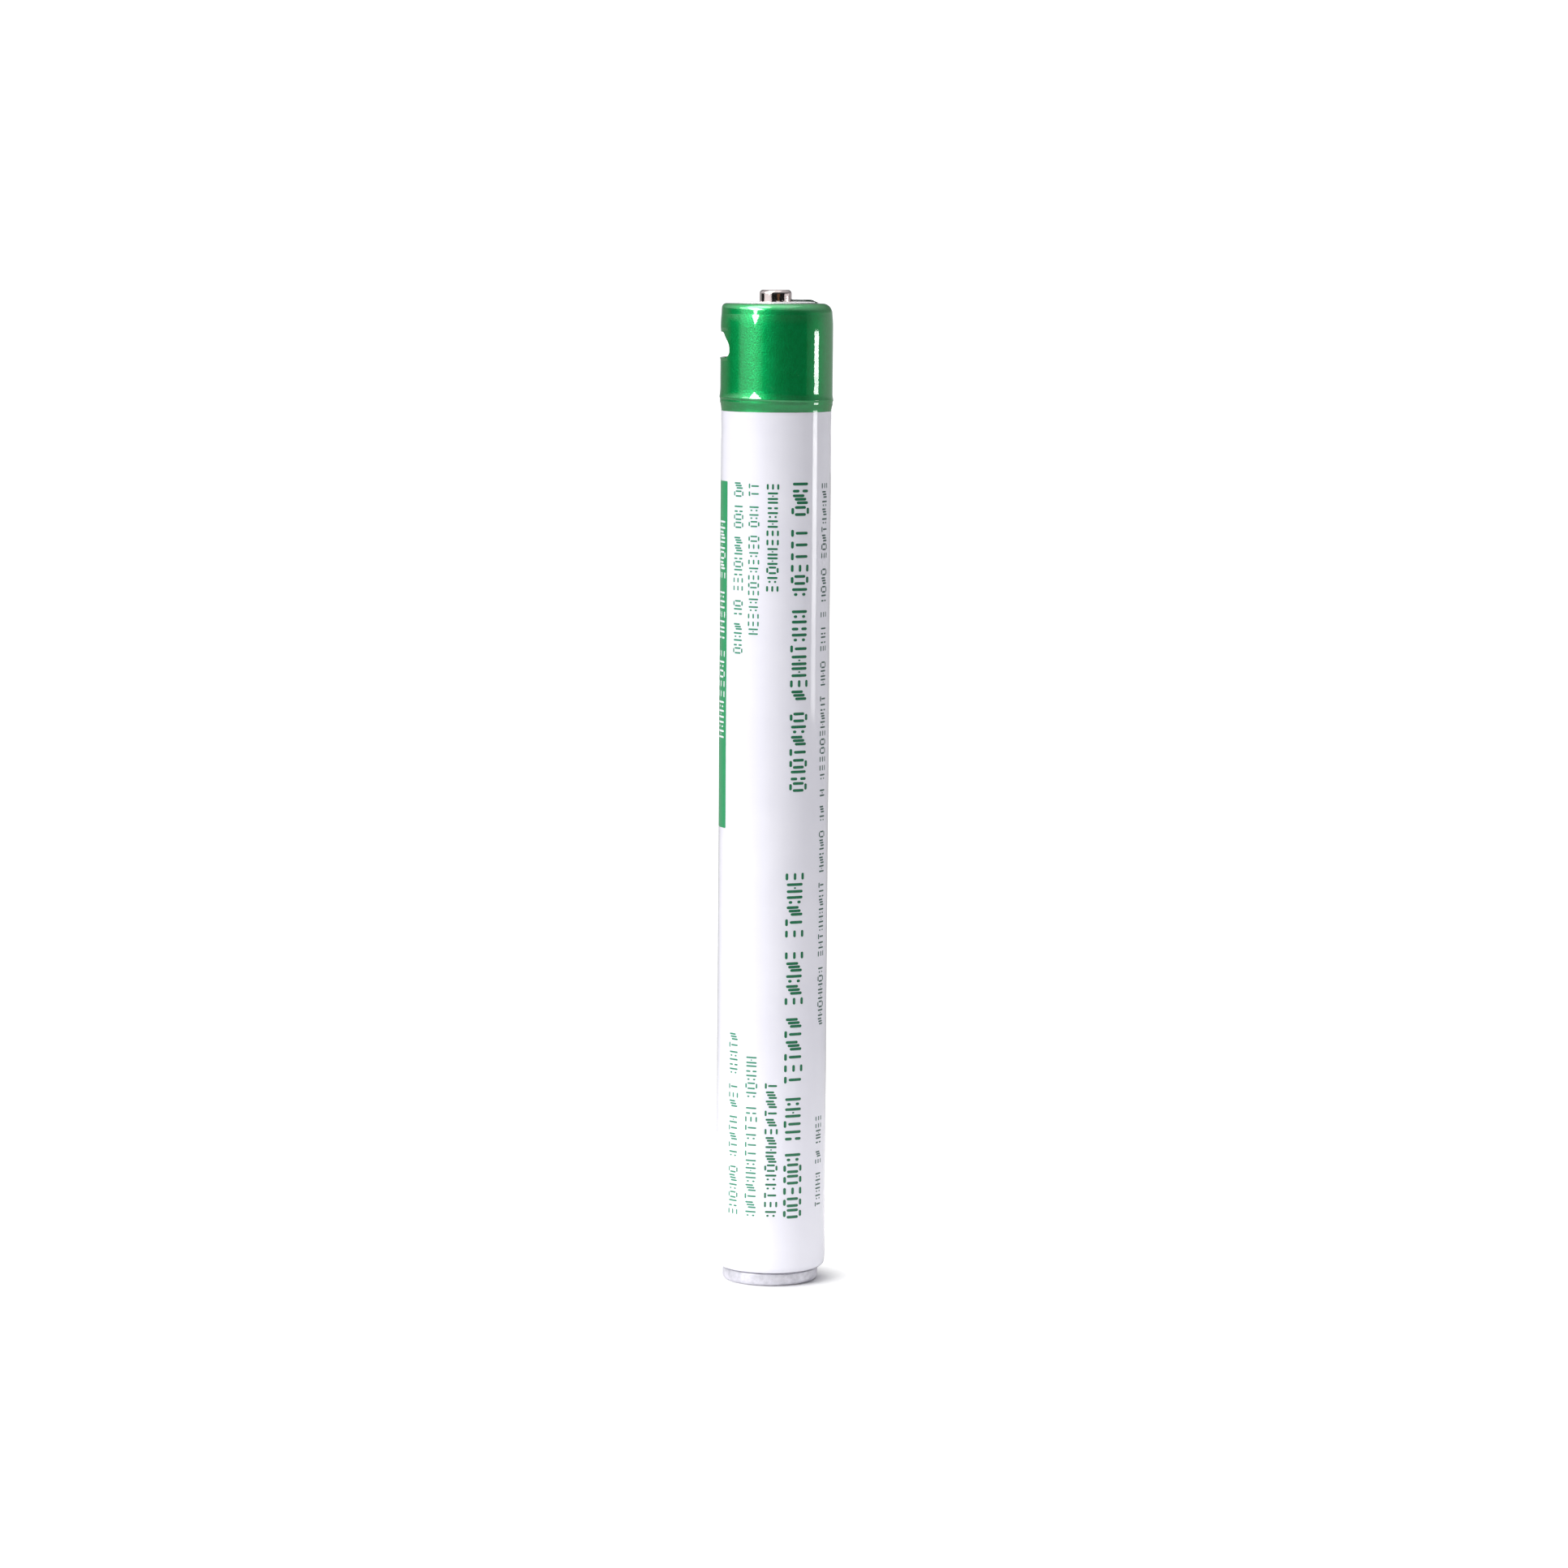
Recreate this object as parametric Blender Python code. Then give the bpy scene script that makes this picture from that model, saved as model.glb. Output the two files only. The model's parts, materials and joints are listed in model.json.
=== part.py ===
"""A slim cylindrical rechargeable battery cell with its charging electronics in the head.

The battery stands on its negative contact. Its own frame has the origin at the centre of that
contact's lower face, +Z through the positive button, the charging port facing -X, and the
negative strip's ridge under the film facing +Y. Drawings are in millimetres in that frame;
add_object() turns them into metres around each piece's own origin.
"""

import math

import bmesh
import bpy
from mathutils import Matrix, Vector

MM = 0.001

# Outside of the finished battery
LENGTH = 90.6
BODY_DIAMETER = 10.0
HEAD_DIAMETER = 10.2
FILM = 0.1
FILM_SEAM = 79.7  # height where the body's film meets the head's film
SEAM_GAP = 0.02  # each film's distance from that height
LIP_HEIGHT = 1.3  # where the film turns in under the can

# Heights of the main pieces
CAN_BOTTOM = 1.90
CAN_TOP = 80.50
ROLL_BOTTOM = 2.65
ROLL_TOP = 77.0
CAP_CROWN = 81.15  # middle of the sheet at the top of the cell's cap
HEAD_BOTTOM = 80.76
LEDGE = 83.42  # the head base's ledge, which carries the main board
BOARD_BOTTOM = 83.45
BOARD_TOP = 84.25
SEAM = 84.0  # where the head base ends and the head cap begins
DECK_BOTTOM = 87.0
DECK_TOP = 87.6
SOLDER = 0.05  # room for solder between a board and what stands on it
CAP_TOP = 89.27
HEAD_FILM_TOP = 89.36  # middle of the film over the head's end

# Heights in the cell's sealed top, from the groove up
BEAD = 78.2  # middle of the groove that the seal sits on
PLATE_BOTTOM = 78.35
PLATE_TOP = 78.60
GASKET_BOTTOM = 78.86
GASKET_TOP = 80.27
VENT_RIM = 79.21  # middle of the vent disc's rim
LIMITER_BOTTOM = 79.35
LIMITER_TOP = 79.66
CAP_FLANGE = 79.85  # middle of the cap's flange

# Radii
CAN_RADIUS = 4.85
CAN_WALL = 0.2
STACK_RADIUS = 4.22  # vent disc, current limiter and cap flange, inside the gasket
STACK_BORE = 3.75  # the gasket's opening
HEAD_RADIUS = 4.95
BOARD_RADIUS = 4.42
BUTTON_RADIUS = 1.47
CONTACT_RADIUS = 4.36
FLOOR_HOLE = 3.6  # opening in the head base's floor, for the leads
CONTACT_SHEET = 0.2  # nickel sheet of the two end contacts
HEAD_LIP = 3.55  # where the film ends over the head
BODY_LIP = 4.40  # where the film ends under the can

# The flat negative strip that runs up the can's side, and the other leads
STRIP_WIDTH = 1.6
STRIP_SHEET = 0.08
STRIP_RADIUS = 4.98
LEAD_RADIUS = 3.35
LEAD_END = 83.37  # height of the two negative leads where they meet the main board
LEAD_TIP = 2.65  # how near the axis those leads end
RIDGE_HEIGHT = 0.22  # how far the strip lifts the film
RIDGE_FLAT = 15.0  # degrees each side of +Y at full height
RIDGE_FOOT = 30.0  # degrees each side of +Y where the ridge has faded out

# Wound electrodes
CORE_RADIUS = 0.9
TURNS = 5
LAYER_GAP = 0.0275
SEPARATOR = 0.05
ANODE = 0.20
CATHODE = 0.19
TAB_SHEET = 0.1
WINDING_PITCH = 2 * SEPARATOR + ANODE + CATHODE + 4 * LAYER_GAP
STEPS_PER_TURN = 18

# Charging port, which faces -X. These are the sizes of the slot in the head's film.
PORT_HALF_WIDTH = 3.88
PORT_BOTTOM = 84.48
PORT_SHOULDER = 86.05  # height where the port's sides start to slope in
PORT_TOP = 86.92
PORT_TOP_HALF_WIDTH = 3.0
SHELL_HALF_WIDTH = 3.70
SHELL_FRONT = -3.30
SHELL_BACK = 1.55
SHELL_BOTTOM = 84.30
SHELL_TOP = 86.72
SHELL_WALL = 0.25
CONTACT_PITCH = 0.65

OUTSIDE = 6.0  # a distance from the axis that is clear of the whole battery

ROUND = 36  # sides of the films, the can and the housings
INNER = 24  # sides of the small round pieces inside
STEP_ANGLE = 360 / ROUND  # degrees
SHARP_ANGLE = math.radians(35)

FINISHES = {  # colour, roughness, metallic
    "white_film": ((0.92, 0.92, 0.95), 0.22, 0.0),
    "green_film": ((0.005, 0.36, 0.12), 0.22, 0.25),
    "nickel": ((0.76, 0.68, 0.64), 0.22, 1.0),
    "nickel_strip": ((0.72, 0.70, 0.67), 0.35, 1.0),
    "steel": ((0.58, 0.58, 0.60), 0.32, 1.0),
    "aluminium": ((0.80, 0.81, 0.83), 0.35, 1.0),
    "graphite": ((0.05, 0.05, 0.055), 0.75, 0.0),
    "oxide": ((0.10, 0.10, 0.11), 0.70, 0.0),
    "separator_film": ((0.88, 0.90, 0.90), 0.45, 0.0),
    "fibre": ((0.30, 0.33, 0.30), 0.80, 0.0),
    "tape": ((0.78, 0.52, 0.10), 0.30, 0.0),
    "seal": ((0.12, 0.12, 0.13), 0.55, 0.0),
    "end_washer": ((0.85, 0.85, 0.86), 0.45, 0.0),
    "housing": ((0.03, 0.03, 0.035), 0.50, 0.0),
    "board": ((0.02, 0.16, 0.08), 0.40, 0.0),
    "epoxy": ((0.025, 0.025, 0.028), 0.60, 0.0),
    "ceramic": ((0.62, 0.50, 0.36), 0.45, 0.0),
    "gold_plate": ((0.85, 0.62, 0.25), 0.25, 1.0),
    "lens": ((0.80, 0.82, 0.76), 0.20, 0.0),
}


def finish(name):
    """The Principled material of one finish, made the first time it is asked for."""
    if name in bpy.data.materials:
        return bpy.data.materials[name]
    colour, roughness, metallic = FINISHES[name]
    material = bpy.data.materials.new(name)
    material.use_nodes = True
    shader = material.node_tree.nodes["Principled BSDF"]
    shader.inputs["Base Color"].default_value = (*colour, 1.0)
    shader.inputs["Roughness"].default_value = roughness
    shader.inputs["Metallic"].default_value = metallic
    material.diffuse_color = (*colour, 1.0)
    return material


def empty(name, height, parent=None):
    """A plain parent for one subassembly, on the axis at the given height."""
    obj = bpy.data.objects.new(name, None)
    bpy.context.collection.objects.link(obj)
    obj.empty_display_size = 4 * MM
    obj.location.z = height * MM
    obj.parent = parent
    return obj


def add_object(name, bm, origin, parent, finish_name, facing=0.0):
    """Store a drawing as an object whose origin is at ``origin``, turned by ``facing`` about Z."""
    bmesh.ops.recalc_face_normals(bm, faces=bm.faces)
    bmesh.ops.translate(bm, vec=-Vector(origin), verts=bm.verts)
    bmesh.ops.scale(bm, vec=(MM, MM, MM), verts=bm.verts)
    mesh = bpy.data.meshes.new(name)
    bm.to_mesh(mesh)
    bm.free()
    mesh.shade_smooth()
    mesh.set_sharp_from_angle(angle=SHARP_ANGLE)
    obj = bpy.data.objects.new(name, mesh)
    bpy.context.collection.objects.link(obj)
    obj.location = Vector(origin) * MM
    obj.rotation_euler.z = math.radians(facing)
    if parent:
        obj.parent = parent
        obj.location -= parent.location
    if finish_name:
        mesh.materials.append(finish(finish_name))
    return obj


# Drawing in a plane


def rounded(points, closed=True, steps=2):
    """Turn each (u, v, radius) corner of a path into an arc; (u, v) corners stay sharp."""
    line = []
    for index, point in enumerate(points):
        corner = Vector(point[:2])
        if len(point) == 2 or (not closed and index in (0, len(points) - 1)):
            line.append(corner)
            continue
        back = (Vector(points[index - 1][:2]) - corner).normalized()
        ahead = (Vector(points[(index + 1) % len(points)][:2]) - corner).normalized()
        half = back.angle(ahead) / 2
        centre = corner + (back + ahead).normalized() * point[2] / math.sin(half)
        reach = point[2] / math.tan(half)
        first = corner + back * reach - centre
        last = corner + ahead * reach - centre
        sweep = math.atan2(first.x * last.y - first.y * last.x, first.dot(last))
        for step in range(steps + 1):
            line.append(centre + Matrix.Rotation(sweep * step / steps, 2) @ first)
    return line


def sheet(path, thickness, steps=2):
    """Closed outline of sheet material whose middle follows an open path."""
    line = rounded(path, closed=False, steps=steps)
    left, right = [], []
    for index, point in enumerate(line):
        back = (point - line[max(index - 1, 0)]).normalized()
        ahead = (line[min(index + 1, len(line) - 1)] - point).normalized()
        back = back if index else ahead
        ahead = ahead if index < len(line) - 1 else back
        normal = Vector((-(back + ahead).y, (back + ahead).x)).normalized()
        offset = normal * thickness / 2 / math.cos(back.angle(ahead) / 2)
        left.append(point + offset)
        right.append(point - offset)
    return left + right[::-1]


def ring_sector(inner, outer, centre_angle, half_angle):
    """Outline in plan of a band between two radii, centred on a direction in degrees."""
    count = round(2 * half_angle / STEP_ANGLE)
    angles = [math.radians(centre_angle - half_angle + STEP_ANGLE * i) for i in range(count + 1)]
    arc = [Vector((math.cos(a), math.sin(a))) for a in angles]
    return [outer * p for p in arc] + [inner * p for p in reversed(arc)]


def rectangle(u_low, u_high, v_low, v_high):
    return [(u_low, v_low), (u_high, v_low), (u_high, v_high), (u_low, v_high)]


# Solids


def turned_solid(outline, segments):
    """Spin an outline of (radius, height) points about the Z axis."""
    bm = bmesh.new()
    verts = [bm.verts.new((max(radius, 0.0), 0, height)) for radius, height in outline]
    pairs = list(zip(verts, verts[1:] + verts[:1]))
    on_axis = [a.co.x < 1e-6 and b.co.x < 1e-6 for a, b in pairs]
    edges = [bm.edges.new(pair) for pair, skip in zip(pairs, on_axis) if not skip]
    bmesh.ops.spin(
        bm, geom=verts + edges, cent=(0, 0, 0), axis=(0, 0, 1), angle=math.tau,
        steps=segments, use_merge=True,
    )
    bmesh.ops.remove_doubles(bm, verts=bm.verts, dist=1e-4)
    return bm


def extruded_solid(outline, low, high, axis="z"):
    """Extrude a flat outline from ``low`` to ``high`` along one axis of the battery's frame."""
    place = {
        "x": lambda u, v: (low, u, v),
        "y": lambda u, v: (u, low, v),
        "z": lambda u, v: (u, v, low),
    }[axis]
    along = Vector([float(letter == axis) for letter in "xyz"])
    bm = bmesh.new()
    face = bm.faces.new([bm.verts.new(place(u, v)) for u, v in outline])
    moved = bmesh.ops.extrude_face_region(bm, geom=[face])["geom"]
    moved = [item for item in moved if isinstance(item, bmesh.types.BMVert)]
    bmesh.ops.translate(bm, vec=along * (high - low), verts=moved)
    return bm


def turned(name, outline, parent, finish_name, segments=ROUND):
    """A lathed piece, with its origin on the axis at its lowest point."""
    low = min(point[1] for point in outline)
    return add_object(name, turned_solid(outline, segments), (0, 0, low), parent, finish_name)


def block(name, centre, size, low, high, parent, finish_name, corner=0.0):
    """A small upright block, with its origin under its middle."""
    half_x, half_y = size[0] / 2, size[1] / 2
    outline = rectangle(centre[0] - half_x, centre[0] + half_x, centre[1] - half_y, centre[1] + half_y)
    if corner:
        outline = rounded([(u, v, corner) for u, v in outline])
    solid = extruded_solid(outline, low, high)
    return add_object(name, solid, (*centre, low), parent, finish_name)


def lead(name, path, thickness, width, facing, parent, finish_name):
    """A bent flat lead. Its path is (distance from the axis, height), in the direction facing."""
    outline = sheet(path, thickness)
    low = min(point[1] for point in outline)
    solid = extruded_solid(outline, -width / 2, width / 2, "y")
    return add_object(name, solid, (0, 0, low), parent, finish_name, facing)


def cut(obj, name, solid):
    """Take a helper solid away from an object."""
    tool = add_object(name, solid, (0, 0, 0), None, None)
    tool.hide_render = True
    tool.display_type = "WIRE"
    modifier = obj.modifiers.new(name, "BOOLEAN")
    modifier.operation = "DIFFERENCE"
    modifier.solver = "EXACT"
    modifier.object = tool


def raise_ridge(bm):
    """Lift the film where the negative strip runs under it, at +Y."""
    fade_in, foot, full_top, fade_out = 1.45, 1.95, 80.95, 81.5
    for vert in bm.verts:
        from_strip = abs(math.degrees(math.atan2(vert.co.x, vert.co.y)))
        across = (RIDGE_FOOT - from_strip) / (RIDGE_FOOT - RIDGE_FLAT)
        up = (vert.co.z - fade_in) / (foot - fade_in)
        down = (fade_out - vert.co.z) / (fade_out - full_top)
        height = RIDGE_HEIGHT * max(0.0, min(1.0, across)) * max(0.0, min(1.0, up, down))
        radial = Vector((vert.co.x, vert.co.y, 0.0))
        vert.co += radial.normalized() * height


def port_outline(half_width, top_half_width, bottom, shoulder, top, corner):
    """The port's outline seen from the front as (y, z): wide below, sloping in towards the top."""
    return rounded([
        (-half_width, bottom, corner), (half_width, bottom, corner), (half_width, shoulder, corner),
        (top_half_width, top, corner), (-top_half_width, top, corner), (-half_width, shoulder, corner),
    ])


# Film around the outside


def body_wrap(parent):
    """White shrink film over the can, turned in under the lower edge."""
    radius = (BODY_DIAMETER - FILM) / 2
    foot = 2.0  # lowest ring that the ridge lifts fully
    corner = 0.52
    path = [
        (radius, FILM_SEAM - SEAM_GAP), (radius, foot), (radius, LIP_HEIGHT, corner), (BODY_LIP, LIP_HEIGHT),
    ]
    solid = turned_solid(sheet(path, FILM, steps=3), ROUND)
    raise_ridge(solid)
    add_object("body_wrap", solid, (0, 0, LIP_HEIGHT), parent, "white_film")


def head_wrap(parent):
    """Green film over the head, turned in over its end, with the port's slot cut in it."""
    body_radius = (BODY_DIAMETER - FILM) / 2
    radius = (HEAD_DIAMETER - FILM) / 2
    bulge = radius + 0.05  # the film over the head's lower edge
    bulge_start, bulge_top, bulge_foot, waist = 81.6, 81.2, 80.95, 80.3
    corner = 0.8
    path = [
        (HEAD_LIP, HEAD_FILM_TOP), (radius, HEAD_FILM_TOP, corner), (radius, bulge_start),
        (bulge, bulge_top), (bulge, bulge_foot), (body_radius, waist), (body_radius, FILM_SEAM + SEAM_GAP),
    ]
    solid = turned_solid(sheet(path, FILM, steps=3), ROUND)
    raise_ridge(solid)
    wrap = add_object("head_wrap", solid, (0, 0, FILM_SEAM), parent, "green_film")
    slot = port_outline(
        PORT_HALF_WIDTH, PORT_TOP_HALF_WIDTH, PORT_BOTTOM, PORT_SHOULDER, PORT_TOP, 0.35,
    )
    cut(wrap, "port_slot_cutter", extruded_solid(slot, -OUTSIDE, -2.0, "x"))


# Negative end


def negative_contact(parent):
    """Pressed nickel plate that stands proud of the lower end."""
    side = CONTACT_RADIUS - CONTACT_SHEET / 2
    face = CONTACT_SHEET / 2
    flange, rim = 1.48, 4.45
    path = [(0, face), (side, face, 0.15), (side, flange, 0.12), (rim, flange)]
    turned("negative_contact", sheet(path, CONTACT_SHEET), parent, "nickel")


def contact_insulator(parent):
    """Fibre disc that keeps the can's bottom away from the negative contact."""
    turned("contact_insulator", disc(4.55, 1.72, 1.87), parent, "fibre", INNER)


def negative_strip(parent):
    """Nickel strip from the negative contact up the can's side to the main board."""
    foot, shoulder = 1.65, 80.83
    weld = 3.6  # how near the axis its foot reaches, under the can
    path = [
        (weld, foot), (STRIP_RADIUS, foot, 0.5), (STRIP_RADIUS, shoulder, 0.3),
        (LEAD_RADIUS, shoulder, 0.15), (LEAD_RADIUS, LEAD_END, 0.15), (LEAD_TIP, LEAD_END),
    ]
    lead("negative_strip", path, STRIP_SHEET, STRIP_WIDTH, 90, parent, "nickel_strip")


def strip_tape(parent):
    """Insulating tape between the can and the negative strip."""
    inner, outer, bottom, top = 4.87, 4.92, 2.45, 79.95
    solid = extruded_solid(ring_sector(inner, outer, 90, 20), bottom, top)
    add_object("strip_tape", solid, (0, inner, bottom), parent, "tape")


# Cell


def disc(radius, low, high):
    return [(0, high), (radius, high), (radius, low), (0, low)]


def washer(inner, outer, low, high):
    return [(inner, high), (outer, high), (outer, low), (inner, low)]


def can(parent):
    """Drawn steel can with its bead groove and crimped rim."""
    side = CAN_RADIUS - CAN_WALL / 2
    floor, rim = CAN_BOTTOM + CAN_WALL / 2, CAN_TOP - CAN_WALL / 2
    groove_depth, groove_half, crimp_end = 0.7, 0.6, 4.0
    path = [
        (0, floor), (side, floor, 0.4), (side, BEAD - groove_half, 0.2), (side - groove_depth, BEAD, 0.3),
        (side, BEAD + groove_half, 0.2), (side, rim, 0.25), (crimp_end, rim),
    ]
    turned("can", sheet(path, CAN_WALL), parent, "steel")


def can_bottom_insulator(parent):
    """Fibre disc between the roll and the tab's foot."""
    turned("can_bottom_insulator", disc(4.0, 2.35, 2.50), parent, "fibre", INNER)


def winding(name, offset, thickness, low, high, parent, finish_name):
    """One layer of the roll: a band that spirals out from the core by one pitch a turn."""
    bm = bmesh.new()
    rows = []
    for step in range(TURNS * STEPS_PER_TURN + 1):
        angle = math.tau * step / STEPS_PER_TURN
        inner = CORE_RADIUS + offset + WINDING_PITCH * step / STEPS_PER_TURN
        ray = Vector((math.cos(angle), math.sin(angle), 0))
        rows.append([bm.verts.new(ray * r + Vector((0, 0, low))) for r in (inner, inner + thickness)])
    faces = [bm.faces.new((a[0], a[1], b[1], b[0])) for a, b in zip(rows, rows[1:])]
    moved = bmesh.ops.extrude_face_region(bm, geom=faces)["geom"]
    moved = [item for item in moved if isinstance(item, bmesh.types.BMVert)]
    bmesh.ops.translate(bm, vec=(0, 0, high - low), verts=moved)
    add_object(name, bm, (0, 0, low), parent, finish_name)


def roll(parent):
    """Separator, negative sheet, separator and positive sheet, wound together."""
    anode_offset = SEPARATOR + LAYER_GAP
    outer_separator_offset = anode_offset + ANODE + LAYER_GAP
    cathode_offset = outer_separator_offset + SEPARATOR + LAYER_GAP
    bottom, top = ROLL_BOTTOM, ROLL_TOP
    inset = 0.35  # the separators stand over the negative sheet by this, and that over the positive
    winding("separator_inner", 0.0, SEPARATOR, bottom, top, parent, "separator_film")
    winding("anode_sheet", anode_offset, ANODE, bottom + inset, top - inset, parent, "graphite")
    winding("separator_outer", outer_separator_offset, SEPARATOR, bottom, top, parent, "separator_film")
    winding("cathode_sheet", cathode_offset, CATHODE, bottom + 2 * inset, top - 2 * inset, parent, "oxide")


def roll_tape(parent):
    """Tape that holds the end of the roll."""
    inner, outer, bottom, top = 4.53, 4.58, 4.0, 75.5
    solid = extruded_solid(ring_sector(inner, outer, 0, 50), bottom, top)
    add_object("roll_tape", solid, (inner, 0, bottom), parent, "tape")


def anode_tab(parent):
    """Nickel tab from the negative sheet down to the can's bottom."""
    floor, side, top = 2.18, 4.15, 70.0
    path = [(0.8, floor), (side, floor, 0.25), (side, top)]
    lead("anode_tab", path, TAB_SHEET, 2.5, 18, parent, "nickel_strip")


def cathode_tab(parent):
    """Aluminium tab from the positive sheet, up the roll's core to the sealing plate."""
    side, bottom, top = 0.55, 60.0, 78.25
    path = [(side, bottom), (side, top, 0.15), (-0.8, top)]
    lead("cathode_tab", path, TAB_SHEET, 1.2, 0, parent, "aluminium")


def roll_top_insulator(parent):
    turned("roll_top_insulator", washer(1.3, 4.5, 77.2, 77.4), parent, "fibre", INNER)


# Seal and cap of the cell


def crimp_gasket(parent):
    """C-shaped seal that the crimp squeezes around the cap's stack."""
    outer, wall, lip, upper_bore = 4.6, 0.26, 0.22, 3.95
    inner_side = outer - wall
    bottom, top = GASKET_BOTTOM, GASKET_TOP
    outline = rounded([
        (STACK_BORE, bottom), (outer, bottom), (outer, top, 0.15), (upper_bore, top),
        (upper_bore, top - lip), (inner_side, top - lip), (inner_side, bottom + lip),
        (STACK_BORE, bottom + lip),
    ])
    turned("crimp_gasket", outline, parent, "seal", INNER)


def interrupter_plate(parent):
    """Plate under the vent that the positive tab is welded to."""
    plate = turned("interrupter_plate", disc(3.3, PLATE_BOTTOM, PLATE_TOP), parent, "aluminium", INNER)
    hole_radius, hole_circle = 0.3, 2.3
    for index in range(4):
        angle = math.radians(45 + 90 * index)
        centre = Vector((hole_circle * math.cos(angle), hole_circle * math.sin(angle), PLATE_TOP))
        hole = bmesh.new()
        bmesh.ops.create_cone(
            hole, cap_ends=True, segments=10, radius1=hole_radius, radius2=hole_radius, depth=1.0,
            matrix=Matrix.Translation(centre),
        )
        cut(plate, f"gas_hole_cutter_{index + 1}", hole)


def interrupter_ring(parent):
    turned("interrupter_ring", washer(2.6, 3.7, PLATE_TOP + 0.02, VENT_RIM - 0.16), parent, "seal", INNER)


def vent_disc(parent):
    """Thin dished disc that tears when the cell's pressure rises."""
    dish = VENT_RIM - 0.35
    path = [(0, dish), (0.6, dish, 0.2), (1.1, VENT_RIM, 0.2), (STACK_RADIUS, VENT_RIM)]
    turned("vent_disc", sheet(path, 0.2), parent, "aluminium", INNER)


def current_limiter_ring(parent):
    outline = washer(3.0, STACK_RADIUS, LIMITER_BOTTOM, LIMITER_TOP)
    turned("current_limiter_ring", outline, parent, "graphite", INNER)


def cell_cap(parent):
    """Positive cap of the cell, with gas slots in the side of its nipple."""
    thickness, slot_bottom, slot_top = 0.3, 80.25, 80.75
    path = [(0, CAP_CROWN), (1.95, CAP_CROWN, 0.3), (2.1, CAP_FLANGE, 0.3), (STACK_RADIUS, CAP_FLANGE)]
    cap = turned("cell_cap", sheet(path, thickness), parent, "nickel", INNER)
    for index in range(3):
        slot = extruded_solid(rectangle(1.2, 2.9, -0.45, 0.45), slot_bottom, slot_top)
        bmesh.ops.rotate(slot, matrix=Matrix.Rotation(math.tau * index / 3, 3, "Z"), verts=slot.verts)
        cut(cap, f"vent_slot_cutter_{index + 1}", slot)


def rim_insulator(parent):
    """Ring over the crimp, open at -Y where the can's lead is welded."""
    bottom, top = CAN_TOP + 0.04, HEAD_BOTTOM - 0.04
    ring = turned("rim_insulator", washer(2.9, 4.7, bottom, top), parent, "fibre", INNER)
    notch = rectangle(-1.0, 1.0, -OUTSIDE, -2.0)
    cut(ring, "rim_notch_cutter", extruded_solid(notch, bottom - 0.2, top + 0.2))


def cell_positive_lead(parent):
    """Lead from the cell's cap to the main board."""
    weld, side, top = CAP_CROWN + 0.21, 3.0, 83.41
    path = [(-1.2, weld), (side, weld, 0.3), (side, top)]
    lead("cell_positive_lead", path, STRIP_SHEET, STRIP_WIDTH, 0, parent, "nickel_strip")


def can_lead(parent):
    """Lead from the can's rim, the cell's negative side, to the main board."""
    weld = CAN_TOP + 0.07
    path = [(4.6, weld), (LEAD_RADIUS, weld, 0.15), (LEAD_RADIUS, LEAD_END, 0.15), (LEAD_TIP, LEAD_END)]
    lead("can_lead", path, STRIP_SHEET, STRIP_WIDTH, -90, parent, "nickel_strip")


# Head


def head_base(parent):
    """Moulded cup that sits on the cell and carries the main board on its ledge."""
    top = BOARD_TOP + 0.02  # a tongue under the port stands this high, the rest ends at the seam
    ledge_radius, rim_radius, floor = 4.25, 4.6, 81.2
    foot_radius, foot_bottom, foot_top = HEAD_RADIUS + 0.05, 80.95, 81.6  # the thicker lower edge
    outline = [
        (FLOOR_HOLE, HEAD_BOTTOM), (HEAD_RADIUS, HEAD_BOTTOM), (foot_radius, foot_bottom),
        (foot_radius, floor), (HEAD_RADIUS, foot_top), (HEAD_RADIUS, top), (rim_radius, top),
        (rim_radius, LEDGE), (ledge_radius, LEDGE), (ledge_radius, floor), (FLOOR_HOLE, floor),
    ]
    base = turned("head_base", outline, parent, "housing")
    tongue, root = SHELL_HALF_WIDTH, -2.5
    around = [
        (-OUTSIDE, tongue), (-OUTSIDE, OUTSIDE), (OUTSIDE, OUTSIDE), (OUTSIDE, -OUTSIDE),
        (-OUTSIDE, -OUTSIDE), (-OUTSIDE, -tongue), (root, -tongue), (root, tongue),
    ]
    cut(base, "tongue_cutter", extruded_solid(around, SEAM, top + 1.0))
    channel = rectangle(-0.95, 0.95, 3.0, OUTSIDE)
    cut(base, "strip_channel_cutter", extruded_solid(channel, HEAD_BOTTOM - 0.26, HEAD_BOTTOM + 0.17))


def head_cap(parent):
    """Moulded cover over the boards, with the port's opening and the button's hole."""
    seam, ceiling, bore = SEAM + 0.05, 87.9, 4.5
    recess_radius, recess, hole = 4.15, 89.10, BUTTON_RADIUS + 0.08
    outline = rounded([
        (bore, seam), (HEAD_RADIUS, seam), (HEAD_RADIUS, CAP_TOP, 0.7), (recess_radius, CAP_TOP),
        (recess_radius, recess), (hole, recess), (hole, ceiling), (bore, ceiling, 0.3),
    ])
    cap = turned("head_cap", outline, parent, "housing")
    half, top_half = PORT_HALF_WIDTH - 0.03, PORT_TOP_HALF_WIDTH + 0.05
    bottom, shoulder, top = SEAM - 0.5, PORT_SHOULDER, PORT_TOP - 0.02
    opening = [
        (-half, bottom), (half, bottom), (half, shoulder), (top_half, top), (-top_half, top),
        (-half, shoulder),
    ]
    cut(cap, "port_opening_cutter", extruded_solid(opening, -OUTSIDE, -1.0, "x"))


def main_board(parent):
    turned("main_board", disc(BOARD_RADIUS, BOARD_BOTTOM, BOARD_TOP), parent, "board")


def contact_board(parent):
    turned("contact_board", disc(BOARD_RADIUS, DECK_BOTTOM, DECK_TOP), parent, "board")


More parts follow.
